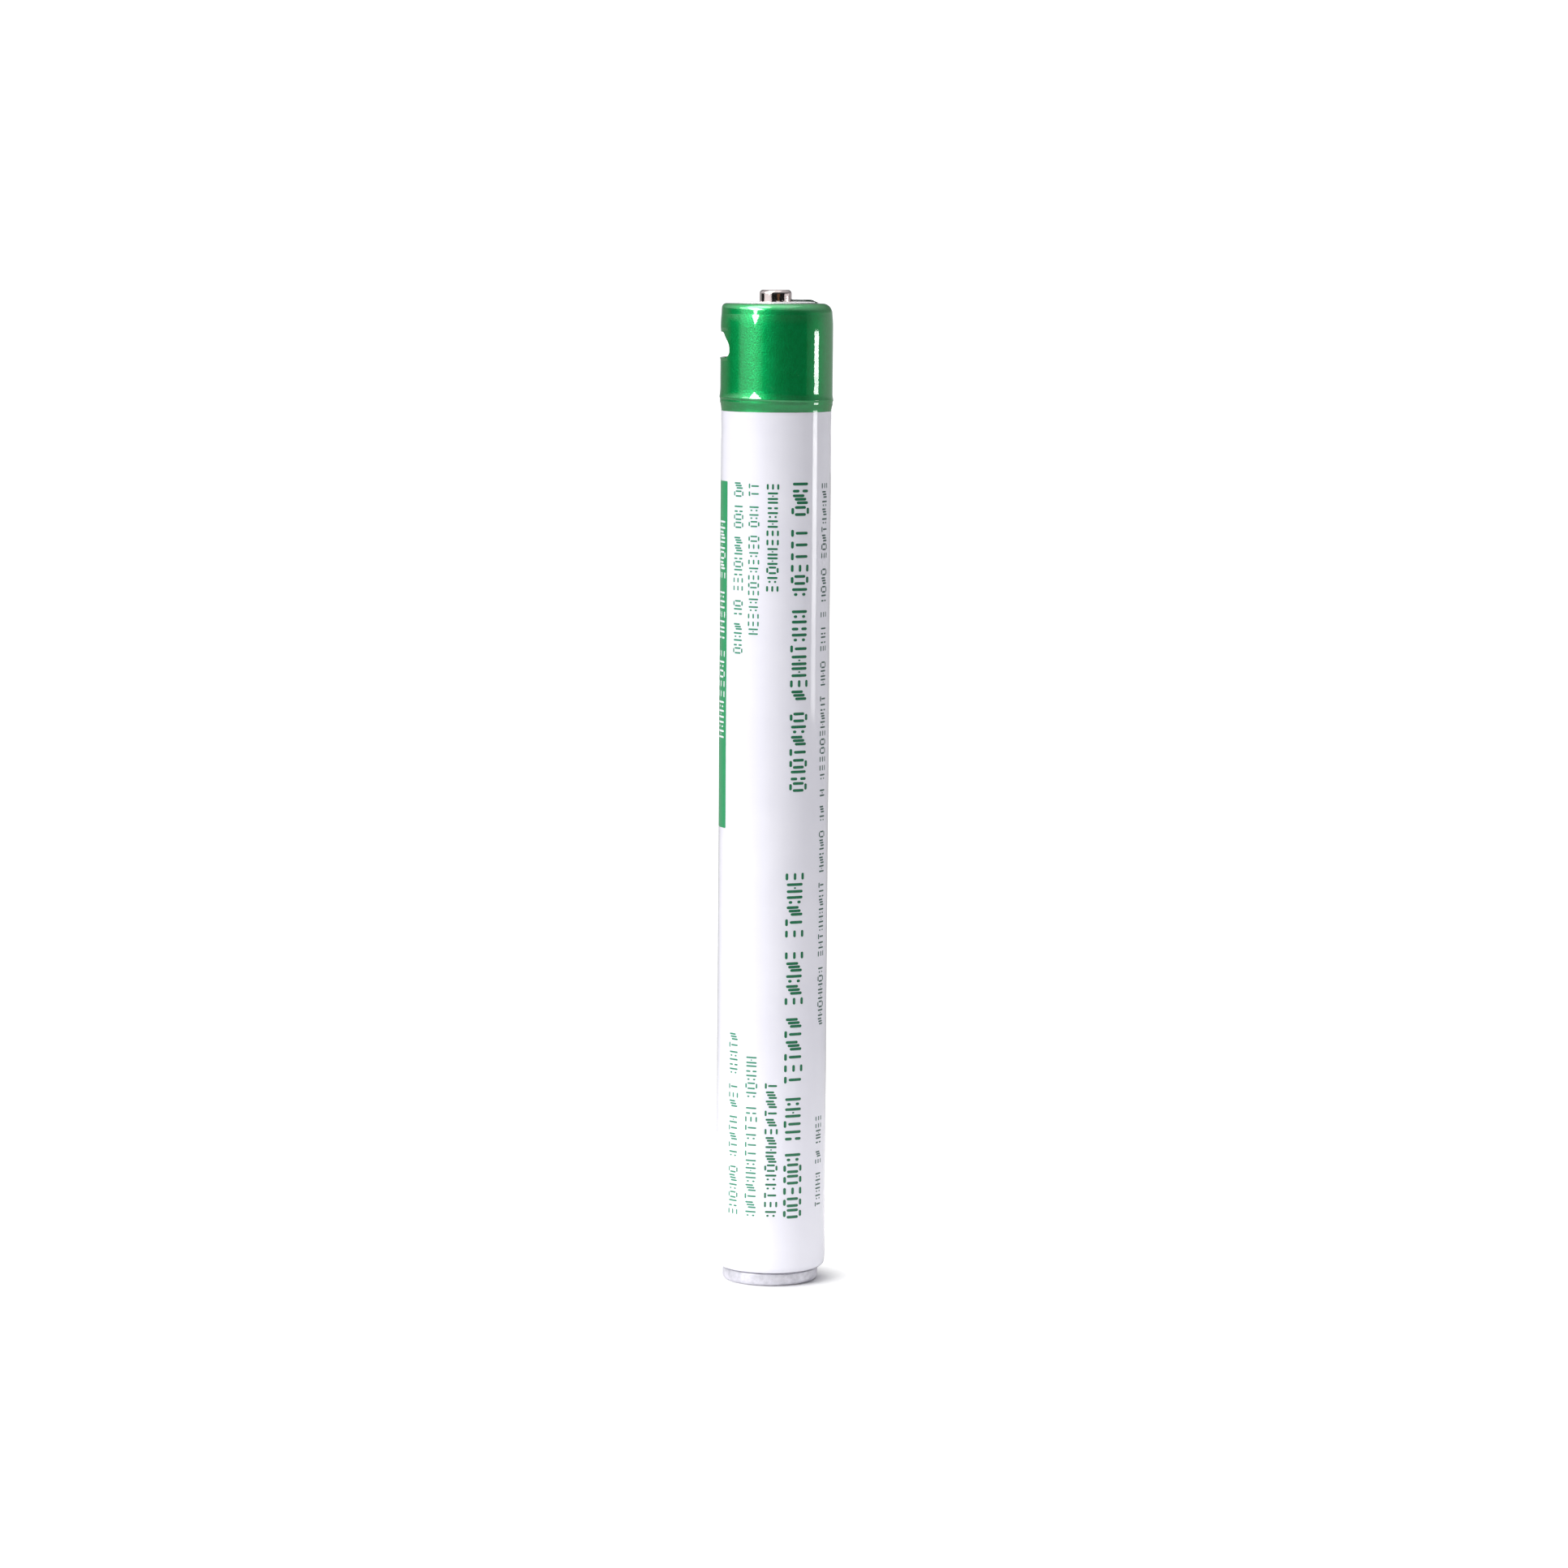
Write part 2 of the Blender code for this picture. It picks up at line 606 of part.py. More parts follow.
def positive_button(parent):
    """Drawn nickel button on the contact board."""
    side, rim = BUTTON_RADIUS - CONTACT_SHEET / 2, 2.5
    top, flange = LENGTH - CONTACT_SHEET / 2, DECK_TOP + 0.13
    path = [(0, top), (side, top, 0.3), (side, flange, 0.25), (rim, flange)]
    turned("positive_button", sheet(path, CONTACT_SHEET, steps=3), parent, "nickel", INNER)


def top_insulator(parent):
    """Insulating washer round the button, under the film's lip."""
    bottom, top = CAP_TOP - 0.15, CAP_TOP - 0.01
    turned("top_insulator", washer(BUTTON_RADIUS + 0.18, 4.08, bottom, top), parent, "end_washer", INNER)


def board_pins(parent):
    """Two pins that join the boards."""
    radius, bottom, top = 0.4, BOARD_TOP + SOLDER, DECK_BOTTOM - SOLDER
    for name, y in (("board_pin_1", 1.1), ("board_pin_2", -1.1)):
        solid = turned_solid(disc(radius, bottom, top), 10)
        bmesh.ops.translate(solid, vec=(3.4, y, 0), verts=solid.verts)
        add_object(name, solid, (3.4, y, bottom), parent, "gold_plate")


# Charging port


def usb_shell(parent):
    """Folded steel shell of the socket, open at both ends, with two latch windows on top."""
    wall, top_half, shoulder = SHELL_WALL, 2.75, 85.75
    outer = port_outline(SHELL_HALF_WIDTH, top_half, SHELL_BOTTOM, shoulder, SHELL_TOP, 0.2)
    bore = port_outline(
        SHELL_HALF_WIDTH - wall, top_half - 0.13, SHELL_BOTTOM + wall, shoulder - 0.09,
        SHELL_TOP - wall, 0.08,
    )
    solid = extruded_solid(outer, SHELL_FRONT, SHELL_BACK, "x")
    shell = add_object("usb_shell", solid, (SHELL_FRONT, 0, SHELL_BOTTOM), parent, "steel")
    cut(shell, "socket_bore_cutter", extruded_solid(bore, -5.0, 3.0, "x"))
    for index, side in enumerate((-1, 1)):
        window = rectangle(-1.9, -0.7, side * 1.6 - 0.4, side * 1.6 + 0.4)
        solid = extruded_solid(window, SHELL_TOP - 2 * wall, SHELL_TOP + wall)
        cut(shell, f"latch_window_cutter_{index + 1}", solid)


def usb_tongue(parent):
    """Moulded contact carrier: a thin tongue in front of a thicker root."""
    front, root_front, back = -2.75, 0.55, SHELL_BACK - 0.1
    bottom, top, root_bottom, root_top = 85.60, 86.10, 85.58, 86.42
    tongue = extruded_solid(rectangle(front, back, bottom, top), -1.9, 1.9, "y")
    carrier = add_object("usb_tongue", tongue, (front, 0, bottom), parent, "housing")
    root = extruded_solid(rectangle(root_front, back, root_bottom, root_top), -2.4, 2.4, "y")
    helper = add_object("tongue_root_helper", root, (0, 0, 0), None, None)
    helper.hide_render = True
    helper.display_type = "WIRE"
    join = carrier.modifiers.new("root", "BOOLEAN")
    join.operation = "UNION"
    join.solver = "EXACT"
    join.object = helper


def usb_contacts(parent):
    """Five spring contacts under the tongue, each with its foot on the main board."""
    tip, bend, foot_end = -2.6, 1.75, 2.45
    height, foot, half_width = 85.51, BOARD_TOP + 0.1, 0.15
    path = [(tip, height), (bend, height, 0.15), (bend, foot, 0.15), (foot_end, foot)]
    outline = sheet(path, STRIP_SHEET)
    for index in range(5):
        middle = (index - 2) * CONTACT_PITCH
        solid = extruded_solid(outline, middle - half_width, middle + half_width, "y")
        add_object(f"usb_contact_{index + 1}", solid, (tip, middle, foot), parent, "gold_plate")


def board_components(parent):
    """Chips and passive parts soldered to the two faces of the main board."""
    under = BOARD_BOTTOM - SOLDER
    over = BOARD_TOP + SOLDER
    block("charger_ic", (-2.0, 0.0), (1.6, 2.9), under - 1.05, under, parent, "epoxy", 0.1)
    block("protection_ic", (0.9, 0.0), (2.0, 2.0), under - 0.7, under, parent, "epoxy", 0.1)
    block("input_capacitor", (-1.9, 2.4), (1.6, 0.8), under - 0.8, under, parent, "ceramic", 0.08)
    block("cell_capacitor", (-1.9, -2.4), (1.6, 0.8), under - 0.8, under, parent, "ceramic", 0.08)
    block("program_resistor", (1.9, 1.9), (1.0, 0.5), under - 0.35, under, parent, "epoxy")
    block("sense_resistor", (1.9, -1.9), (1.0, 0.5), under - 0.35, under, parent, "epoxy")
    block("status_led", (2.6, 2.2), (1.6, 0.8), over, over + 0.6, parent, "lens", 0.08)
    block("led_resistor", (2.4, -2.3), (1.0, 0.5), over, over + 0.35, parent, "epoxy")


def clear_scene():
    for obj in list(bpy.data.objects):
        bpy.data.objects.remove(obj, do_unlink=True)


def build():
    clear_scene()
    battery = empty("battery", 0.0)
    for make in (body_wrap, head_wrap, negative_contact, contact_insulator, negative_strip, strip_tape):
        make(battery)
    cell = empty("cell", CAN_BOTTOM, battery)
    for make in (can, can_bottom_insulator, roll, roll_tape, anode_tab, cathode_tab, roll_top_insulator,
                 crimp_gasket, interrupter_plate, interrupter_ring, vent_disc, current_limiter_ring,
                 cell_cap, rim_insulator, cell_positive_lead, can_lead):
        make(cell)
    head = empty("charging_head", HEAD_BOTTOM, battery)
    for make in (head_base, head_cap, main_board, contact_board, positive_button, top_insulator,
                 board_pins, board_components):
        make(head)
    socket = empty("usb_socket", SHELL_BOTTOM, battery)
    for make in (usb_shell, usb_tongue, usb_contacts):
        make(socket)


build()
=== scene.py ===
import json
import math
import random

import bmesh
import bpy
from mathutils import Matrix, Quaternion, Vector


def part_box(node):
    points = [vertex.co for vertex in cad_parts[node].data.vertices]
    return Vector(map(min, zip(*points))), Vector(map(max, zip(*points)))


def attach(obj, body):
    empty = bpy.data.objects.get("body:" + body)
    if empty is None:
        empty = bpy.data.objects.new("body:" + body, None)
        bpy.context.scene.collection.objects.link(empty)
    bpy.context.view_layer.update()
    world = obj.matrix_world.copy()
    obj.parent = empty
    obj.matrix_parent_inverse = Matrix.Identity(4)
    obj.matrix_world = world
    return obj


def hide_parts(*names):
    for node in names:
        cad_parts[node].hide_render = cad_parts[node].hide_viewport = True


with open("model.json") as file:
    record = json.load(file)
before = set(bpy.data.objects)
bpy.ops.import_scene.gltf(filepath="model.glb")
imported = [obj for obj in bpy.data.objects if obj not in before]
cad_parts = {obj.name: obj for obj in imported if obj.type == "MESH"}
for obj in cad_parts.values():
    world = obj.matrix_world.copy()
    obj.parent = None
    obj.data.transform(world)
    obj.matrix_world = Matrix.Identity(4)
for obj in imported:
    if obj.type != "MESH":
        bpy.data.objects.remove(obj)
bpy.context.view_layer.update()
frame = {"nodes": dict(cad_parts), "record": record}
CAD = frame["nodes"]

MM = 0.001

# The camera looks at the side 16 degrees round from -Y. Directions given as FRONT angles are
# measured from that line, positive towards the right of the picture.
FRONT_AZIMUTH = math.radians(16)
FRONT = Vector((math.sin(FRONT_AZIMUTH), -math.cos(FRONT_AZIMUTH), 0))
RIGHT = Vector((math.cos(FRONT_AZIMUTH), math.sin(FRONT_AZIMUTH), 0))
UP = Vector((0, 0, 1))


def box_mm(node):
    """The low and high corners of a CAD node's box, in millimetres."""
    return [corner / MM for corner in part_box(node)]


# Sizes read from the frame, in millimetres
CONTACT_HIGH = box_mm("negative_contact")[1]
BUTTON_LOW, BUTTON_HIGH = box_mm("positive_button")
BODY_LOW, BODY_HIGH = box_mm("body_wrap")
HEAD_LOW, HEAD_HIGH = box_mm("head_wrap")
WASHER_LOW, WASHER_HIGH = box_mm("top_insulator")
SHELL_LOW, SHELL_HIGH = box_mm("usb_shell")
LENGTH = BUTTON_HIGH.z
SEAM = (BODY_HIGH.z + HEAD_LOW.z) / 2  # where white film meets green film
BODY_RADIUS = BODY_HIGH.x
HEAD_RADIUS = HEAD_HIGH.x - 0.05  # the box reaches the bulge at the head's lower edge
RIDGE = BODY_HIGH.y - BODY_RADIUS  # how far the strip under the film stands out at +Y

# Sizes that the frame doesn't give, in millimetres
FILM = 0.1  # thickness
FILM_JOINT = 0.003  # half the gap between the two films
PLATE = 0.2  # thickness of the button and of the bottom plate
LIP_SWELL = 2.9  # height of the slight bulge above the body's lower lip
GROOVE = 77.9  # height of the shallow groove below the seam
BULGE = 80.84  # mean height of the bulge's peak over the head's lower edge
RIDGE_TOP = 81.9  # height where the strip's ridge has faded out
TAPER_START = 87.1  # above this height the head narrows
LIP_EDGE = 3.55  # radius of the hole in the head's upper lip
SHOULDER = 0.92  # largest radius of the head's top corner
BUTTON_RADIUS = 1.47
BUTTON_SHIFT = -0.14  # how far the button stands off the axis, positive towards RIGHT

# The port's slot in the film
SLOT_HALF, SLOT_TOP_HALF = 3.88, 2.9
SLOT_LOW, SLOT_SHOULDER, SLOT_HIGH = 84.50, 85.75, 86.80


def front_angle(degrees):
    """Angle about Z, from +X, of a direction given from the camera's side."""
    return math.radians(degrees) + FRONT_AZIMUTH - math.pi / 2


def smooth(low, high, value):
    """0 up to low, 1 from high on, and an S-curve between them. It falls where low is above high."""
    t = max(0.0, min(1.0, (value - low) / (high - low)))
    return t * t * (3 - 2 * t)


def hill(value, middle, width):
    """A bell curve that is 1 at its middle."""
    return math.exp(-(((value - middle) / width) ** 2))


def turn_between(a, b):
    """The smallest angle between two directions about Z, in degrees."""
    return abs(math.degrees((a - b + math.pi) % math.tau - math.pi))


# Meshes


def finish_mesh(name, mesh, finish, nodes=(), sharp=40):
    """Shade, paint and hang one finished mesh on the root body."""
    mesh.shade_smooth()
    mesh.set_sharp_from_angle(angle=math.radians(sharp))
    mesh.materials.clear()
    mesh.materials.append(FINISH[finish])
    obj = bpy.data.objects.new(name, mesh)
    bpy.context.scene.collection.objects.link(obj)
    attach(obj, "root")
    if nodes:
        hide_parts(*nodes)
    return obj


def mesh_from(bm, name):
    """Turn a bmesh into a mesh whose faces all look outwards."""
    bmesh.ops.recalc_face_normals(bm, faces=bm.faces)
    mesh = bpy.data.meshes.new(name)
    bm.to_mesh(mesh)
    bm.free()
    return mesh


def bridge(bm, first, second):
    """Join two closed loops with a band of faces. A loop whose points are all one makes triangles."""
    for corners in zip(first, first[1:] + first[:1], second[1:] + second[:1], second):
        corners = list(dict.fromkeys(corners))
        if len(corners) > 2:
            bm.faces.new(corners)


def rounded(points, closed=True, steps=6):
    """Turn each (u, v, radius) corner of a path into an arc; (u, v) corners stay sharp."""
    line = []
    for index, point in enumerate(points):
        corner = Vector(point[:2])
        if len(point) == 2 or (not closed and index in (0, len(points) - 1)):
            line.append(corner)
            continue
        back = (Vector(points[index - 1][:2]) - corner).normalized()
        ahead = (Vector(points[(index + 1) % len(points)][:2]) - corner).normalized()
        half = back.angle(ahead) / 2
        centre = corner + (back + ahead).normalized() * point[2] / math.sin(half)
        reach = point[2] / math.tan(half)
        first = corner + back * reach - centre
        last = corner + ahead * reach - centre
        sweep = math.atan2(first.x * last.y - first.y * last.x, first.dot(last))
        for step in range(steps + 1):
            line.append(centre + Matrix.Rotation(sweep * step / steps, 2) @ first)
    return line


def divided(line, longest):
    """A path with extra points, so that no stretch of it is longer than asked."""
    out = [line[0]]
    for start, end in zip(line, line[1:]):
        count = max(1, math.ceil((end - start).length / longest))
        out += [start.lerp(end, step / count) for step in range(1, count + 1)]
    return out


def offset(line, distance):
    """A path moved sideways to its left, with mitred corners."""
    least_cosine = 0.3  # so that a sharp corner's mitre doesn't run away
    out = []
    for index, point in enumerate(line):
        back = (point - line[max(index - 1, 0)]).normalized()
        ahead = (line[min(index + 1, len(line) - 1)] - point).normalized()
        back = back if index else ahead
        ahead = ahead if index < len(line) - 1 else back
        normal = Vector((-(back + ahead).y, (back + ahead).x)).normalized()
        out.append(point + normal * distance / max(least_cosine, math.cos(back.angle(ahead) / 2)))
    return out


def sheet(line, thickness):
    """The closed outline of a sheet whose middle follows an open path."""
    return offset(line, thickness / 2) + offset(line, -thickness / 2)[::-1]


def lathe(outline, segments, warp=None):
    """Turn a closed outline of (radius, height) about Z. Points on the axis become one point.

    warp(radius, angle, height) returns the (radius, height) that a point really has.
    """
    bm = bmesh.new()
    on_axis = 1e-6

    def corner(radius, angle, height):
        r, z = warp(radius, angle, height) if warp else (radius, height)
        return bm.verts.new((r * MM * math.cos(angle), r * MM * math.sin(angle), z * MM))

    rings = []
    for radius, height in outline:
        if radius < on_axis:
            rings.append([corner(0.0, 0.0, height)] * segments)
        else:
            rings.append([corner(radius, math.tau * step / segments, height) for step in range(segments)])
    for first, second in zip(rings, rings[1:] + rings[:1]):
        bridge(bm, first, second)
    return mesh_from(bm, "lathe")


def loft(name, sections, capped=True):
    """Skin closed loops of points, all of one length. The end loops are capped or joined."""
    bm = bmesh.new()
    loops = [[bm.verts.new(Vector(point) * MM) for point in section] for section in sections]
    for first, second in zip(loops, loops[1:] if capped else loops[1:] + loops[:1]):
        bridge(bm, first, second)
    if capped:
        bm.faces.new(loops[0])
        bm.faces.new(loops[-1])
    return mesh_from(bm, name)


# Material building

FINISH = {}  # every finish's material, by name


class Nodes:
    """A node tree, with short calls for the nodes that the finishes and the surroundings share."""

    def __init__(self, tree):
        self.tree = tree

    def feed(self, socket, value):
        """Link a socket to another one, or give it a value; three numbers make a colour."""
        if isinstance(value, bpy.types.NodeSocket):
            self.tree.links.new(value, socket)
        elif socket.type == "RGBA" and len(value) == 3:
            socket.default_value = (*value, 1.0)
        else:
            socket.default_value = value

    def add(self, kind, inputs=None, **settings):
        node = self.tree.nodes.new(kind)
        for name, value in settings.items():
            setattr(node, name, value)
        for name, value in (inputs or {}).items():
            self.feed(node.inputs[name], value)
        return node

    def math(self, operation, first, second):
        return self.add("ShaderNodeMath", {0: first, 1: second}, operation=operation).outputs[0]

    def vector_math(self, operation, *vectors):
        """The one number that a vector operation gives."""
        inputs = dict(enumerate(vectors))
        return self.add("ShaderNodeVectorMath", inputs, operation=operation).outputs["Value"]

    def remap(self, value, low, high, new_low=0.0, new_high=1.0):
        """Stretch the range from low to high over the new one, and stop at its ends."""
        inputs = {
            "Value": value, "From Min": low, "From Max": high, "To Min": new_low, "To Max": new_high,
        }
        return self.add("ShaderNodeMapRange", inputs).outputs[0]

    def ramp(self, factor, *stops):
        """A colour ramp. Each stop is (position, grey) or (position, (red, green, blue))."""
        node = self.add("ShaderNodeValToRGB", {"Fac": factor})
        elements = node.color_ramp.elements
        while len(elements) < len(stops):
            elements.new(0.5)
        for element, (position, colour) in zip(elements, stops):
            element.position = position
            colour = colour if isinstance(colour, tuple) else (colour,) * 3
            element.color = (*colour, 1.0)
        return node.outputs[0]

    def mix(self, factor, first, second):
        """A blend of two colours."""
        return self.add("ShaderNodeMix", {0: factor, 6: first, 7: second}, data_type="RGBA").outputs[2]


class Finish(Nodes):
    """A new material and its node tree. Patterns follow the object's own coordinates."""

    def __init__(self, name):
        self.material = bpy.data.materials.new(name)
        FINISH[name] = self.material
        self.material.use_nodes = True
        super().__init__(self.material.node_tree)
        self.shader = self.tree.nodes["Principled BSDF"]
        self.position = self.add("ShaderNodeTexCoord").outputs["Object"]

    def set(self, **values):
        """Set or link the shader's inputs, with _ for each space in their names."""
        for name, value in values.items():
            self.feed(self.shader.inputs[name.replace("_", " ")], value)

    def stretched(self, scale):
        """The position scaled by three numbers, for a pattern that runs along an axis."""
        return self.add("ShaderNodeMapping", {"Vector": self.position, "Scale": scale}).outputs[0]

    def noise(self, size, detail=2.0, roughness=0.5, along=None, distortion=0.0):
        """Noise from 0 to 1 whose blobs are about ``size`` millimetres across."""
        inputs = {
            "Vector": self.stretched(along) if along else self.position, "Scale": 1.0 / (size * MM),
            "Detail": detail, "Roughness": roughness, "Distortion": distortion,
        }
        return self.add("ShaderNodeTexNoise", inputs).outputs[0]

    def cells(self, size):
        """Distance to the nearest cell point, for pits and bubbles."""
        inputs = {"Vector": self.position, "Scale": 1.0 / (size * MM)}
        return self.add("ShaderNodeTexVoronoi", inputs).outputs["Distance"]

    def weave(self, direction):
        """Soft waves across one direction."""
        inputs = {"Vector": self.position, "Scale": 900.0, "Distortion": 1.2, "Detail": 1.0}
        return self.add("ShaderNodeTexWave", inputs, bands_direction=direction).outputs[0]

    def bump(self, height, depth, under=None):
        """A bump whose height 1 is ``depth`` millimetres, on top of the one under it."""
        inputs = {"Height": height, "Distance": depth * MM, "Strength": 1.0}
        if under:
            inputs["Normal"] = under
        return self.add("ShaderNodeBump", inputs).outputs[0]

    def facing(self):
        """0 where the surface faces the viewer, 1 where it is seen edge-on."""
        return self.add("ShaderNodeLayerWeight", {"Blend": 0.5}).outputs["Facing"]

    def from_axis(self):
        """Distance from the battery's axis in centimetres."""
        return self.vector_math("LENGTH", self.stretched((100.0, 100.0, 0.0)))


def white_film():
    """White print behind clear gloss film: faint ripples, a trace of lavender, a few scuffs."""
    n = Finish("white_film")
    blotches = n.ramp(n.noise(6.0, 3.0), (0.35, 0.0), (0.65, 1.0))
    tone = n.mix(blotches, (0.83, 0.82, 0.895), (0.86, 0.85, 0.92))
    scuffs = n.ramp(n.noise(0.25, 3.0, along=(1.0, 1.0, 0.12)), (0.70, 0.0), (0.80, 1.0))
    ripple = n.bump(n.noise(2.2, 2.0), 0.004)
    peel = n.bump(n.noise(0.35, 1.0), 0.0006, under=ripple)
    depth = 0.6 * MM
    n.set(
        Base_Color=tone, Roughness=0.38, Specular_IOR_Level=0.3, Normal=ripple,
        Coat_Weight=1.0, Coat_IOR=1.72, Coat_Normal=peel,
        Coat_Roughness=n.ramp(scuffs, (0.0, 0.06), (1.0, 0.16)),
        Subsurface_Weight=0.06, Subsurface_Radius=(depth, depth, depth),
    )


def green_film():
    """Pearl green print behind clear film. The print is wrinkled finely, the film over it hardly.

    At grazing angles the colour turns grey, a painted reflection that stands for the clear film seen
    edge-on, and near the hole in the upper lip the colour is painted dark, a painted shade over the lip's
    cut edge and underside.
    """
    n = Finish("green_film")
    mottle = n.ramp(n.noise(0.7, 4.0, 0.6), (0.3, 0.0), (0.7, 1.0))
    tone = n.mix(mottle, (0.002, 0.40, 0.095), (0.004, 0.47, 0.125))
    # Painted reflection: the colour turns grey towards grazing angles, a painted sheen along the film's
    # outline
    grazing_sheen = n.ramp(n.facing(), (0.84, 0.0), (0.95, 1.0))
    tone = n.mix(grazing_sheen, tone, (0.60, 0.62, 0.70))
    # Painted shade: near the hole in the upper lip the colour turns nearly black, a painted shadow on the
    # lip's cut edge and underside
    lip = n.ramp(n.from_axis(), (0.372, 1.0), (0.384, 0.0))
    tone = n.mix(lip, tone, (0.012, 0.030, 0.028))
    peel = n.noise(0.15, 1.0, 0.45, along=(1.0, 1.0, 0.85))
    wrinkles = n.bump(peel, 0.017)
    grain = n.bump(n.noise(0.07, 1.0), 0.006, under=wrinkles)
    skin = n.bump(peel, 0.0020)
    n.set(
        Base_Color=tone, Metallic=0.95, Roughness=0.46, Normal=grain, Specular_Tint=(0.05, 0.75, 0.25),
        Coat_Weight=1.0, Coat_Roughness=0.03, Coat_IOR=2.20, Coat_Normal=skin,
    )


def ink(name, colour, wear):
    """Printed ink whose cover is slightly uneven; worn places are paler."""
    n = Finish(name)
    pale = tuple(c + (0.55 - c) * wear for c in colour)
    cover = n.ramp(n.noise(0.12, 3.0), (0.32, 0.0), (0.62, 1.0))
    n.set(
        Base_Color=n.mix(cover, pale, colour), Roughness=0.30,
        Normal=n.bump(n.noise(0.08, 2.0), 0.0008), Coat_Weight=0.35, Coat_Roughness=0.08,
    )


def bright_nickel(name, colour, roughness, cloud, scratch_depth):
    """Nickel plate with fine handling marks, a soft cloud of stain, small pits and dents."""
    n = Finish(name)
    stain = n.ramp(n.noise(0.9, 4.0, 0.6), (0.35, 0.0), (0.75, 1.0))
    dull = tuple(c * cloud for c in colour)
    pits = n.ramp(n.cells(0.22), (0.0, 0.0), (0.16, 1.0))
    lines = n.noise(0.05, 2.0, along=(1.0, 1.0, 0.10))
    dents = n.ramp(n.noise(0.30, 2.0, along=(1.0, 1.0, 0.5), distortion=1.0), (0.42, 0.0), (0.75, 1.0))
    surface = n.bump(lines, scratch_depth)
    surface = n.bump(pits, scratch_depth * 0.8, under=surface)
    surface = n.bump(dents, scratch_depth * 8, under=surface)
    n.set(
        Base_Color=n.mix(stain, colour, dull), Metallic=1.0, Normal=surface,
        Roughness=n.ramp(stain, (0.0, roughness), (1.0, roughness * 1.7)),
    )


def moulded(name, colour, roughness=0.45, grain=0.05, depth=0.002, metallic=0.0, contrast=0.25, along=None):
    """The shared recipe of the plainer finishes: mottled colour, uneven gloss, fine grain."""
    n = Finish(name)
    low = tuple(c * (1 - contrast) for c in colour)
    high = tuple(min(1.0, c * (1 + contrast)) for c in colour)
    blotches = n.ramp(n.noise(grain * 9, 3.0, along=along), (0.35, 0.0), (0.65, 1.0))
    texture = n.noise(grain, 3.0, along=along)
    n.set(
        Base_Color=n.mix(blotches, low, high), Metallic=metallic,
        Roughness=n.ramp(texture, (0.25, roughness * 0.8), (0.75, min(1.0, roughness * 1.25))),
        Normal=n.bump(texture, depth),
    )


def metal(name, colour, roughness, grain, along=None, contrast=0.08):
    """The shared recipe for metals, with a shallow grain and a steady colour."""
    moulded(name, colour, roughness, grain, 0.001, 1.0, contrast, along)


def woven_board():
    """Solder mask over glass cloth, with the cloth's weave just showing."""
    n = Finish("circuit_board")
    cloth = n.math("MULTIPLY", n.weave("X"), n.weave("Y"))
    n.set(
        Base_Color=n.mix(cloth, (0.010, 0.11, 0.045), (0.02, 0.17, 0.075)), Roughness=0.32,
        Normal=n.bump(cloth, 0.004), Coat_Weight=0.4, Coat_Roughness=0.12,
    )


def amber_tape():
    """Clear amber film tape with the adhesive's bubbles."""
    n = Finish("amber_tape")
    bubbles = n.ramp(n.cells(0.4), (0.05, 0.0), (0.25, 1.0))
    n.set(
        Base_Color=n.mix(bubbles, (0.55, 0.30, 0.04), (0.78, 0.48, 0.07)), Roughness=0.22,
        Normal=n.bump(bubbles, 0.003), Coat_Weight=0.5,
    )


def make_finishes():
    """One finish for each of the record's slots, a second nickel for the bottom plate, and the inks."""
    drawn = (1.0, 1.0, 0.05)  # grain drawn out along the battery
    white_film()
    green_film()
    woven_board()
    amber_tape()
    bright_nickel("contact_nickel", (0.82, 0.72, 0.70), 0.06, 0.86, 0.0006)
    bright_nickel("plate_nickel", (0.79, 0.78, 0.83), 0.42, 0.76, 0.0012)
    metal("can_steel", (0.60, 0.60, 0.62), 0.30, 0.08, drawn)
    metal("socket_steel", (0.66, 0.66, 0.67), 0.28, 0.05)
    metal("lead_nickel", (0.72, 0.70, 0.67), 0.32, 0.06, drawn)
    metal("bare_aluminium", (0.80, 0.81, 0.83), 0.36, 0.05, contrast=0.06)
    metal("gold_plate", (0.88, 0.64, 0.26), 0.22, 0.05)
    moulded("anode_coating", (0.050, 0.050, 0.055), 0.80, 0.03, 0.003)
    moulded("cathode_coating", (0.10, 0.10, 0.11), 0.72, 0.03, 0.003)
    moulded("separator_film", (0.86, 0.88, 0.88), 0.42, 0.04, 0.001, contrast=0.04)
    moulded("fibre_paper", (0.30, 0.33, 0.30), 0.85, 0.08, 0.008, contrast=0.15)
    moulded("seal_plastic", (0.12, 0.12, 0.13), 0.50)
    moulded("end_washer", (0.84, 0.84, 0.85), 0.45, 0.06, contrast=0.04)
    moulded("limiter_polymer", (0.06, 0.06, 0.065), 0.60)
    moulded("head_housing", (0.030, 0.030, 0.033), 0.45, 0.06, 0.004)
    moulded("socket_plastic", (0.040, 0.040, 0.045), 0.50, 0.05, 0.003)
    moulded("chip_epoxy", (0.025, 0.025, 0.028), 0.60, 0.03, 0.004)
    moulded("capacitor_ceramic", (0.60, 0.48, 0.34), 0.42, 0.06, contrast=0.1)
    moulded("led_lens", (0.80, 0.82, 0.76), 0.18, 0.08, 0.001, contrast=0.05)
    ink("green_ink", (0.0, 0.165, 0.065), 0.04)
    ink("block_ink", (0.0, 0.29, 0.095), 0.04)
    ink("mint_ink", (0.020, 0.27, 0.14), 0.05)
    ink("grey_ink", (0.030, 0.115, 0.085), 0.06)
    ink("white_ink", (0.86, 0.86, 0.90), 0.0)


def paint_cad_nodes():
    """Give every CAD node the finish of its slot, and break its sharp edges."""
    for row in frame["record"]["subparts"]:
        obj = CAD[row["node"]]
        obj.data.materials.clear()
        obj.data.materials.append(FINISH[row["material_slot"]])
        bevel = obj.modifiers.new("edge_break", "BEVEL")
        bevel.width = 0.02 * MM
        bevel.limit_method = "ANGLE"
        bevel.angle_limit = math.radians(50)
        bevel.segments = 2


# The film's surface, shared by the film and the ink printed on it


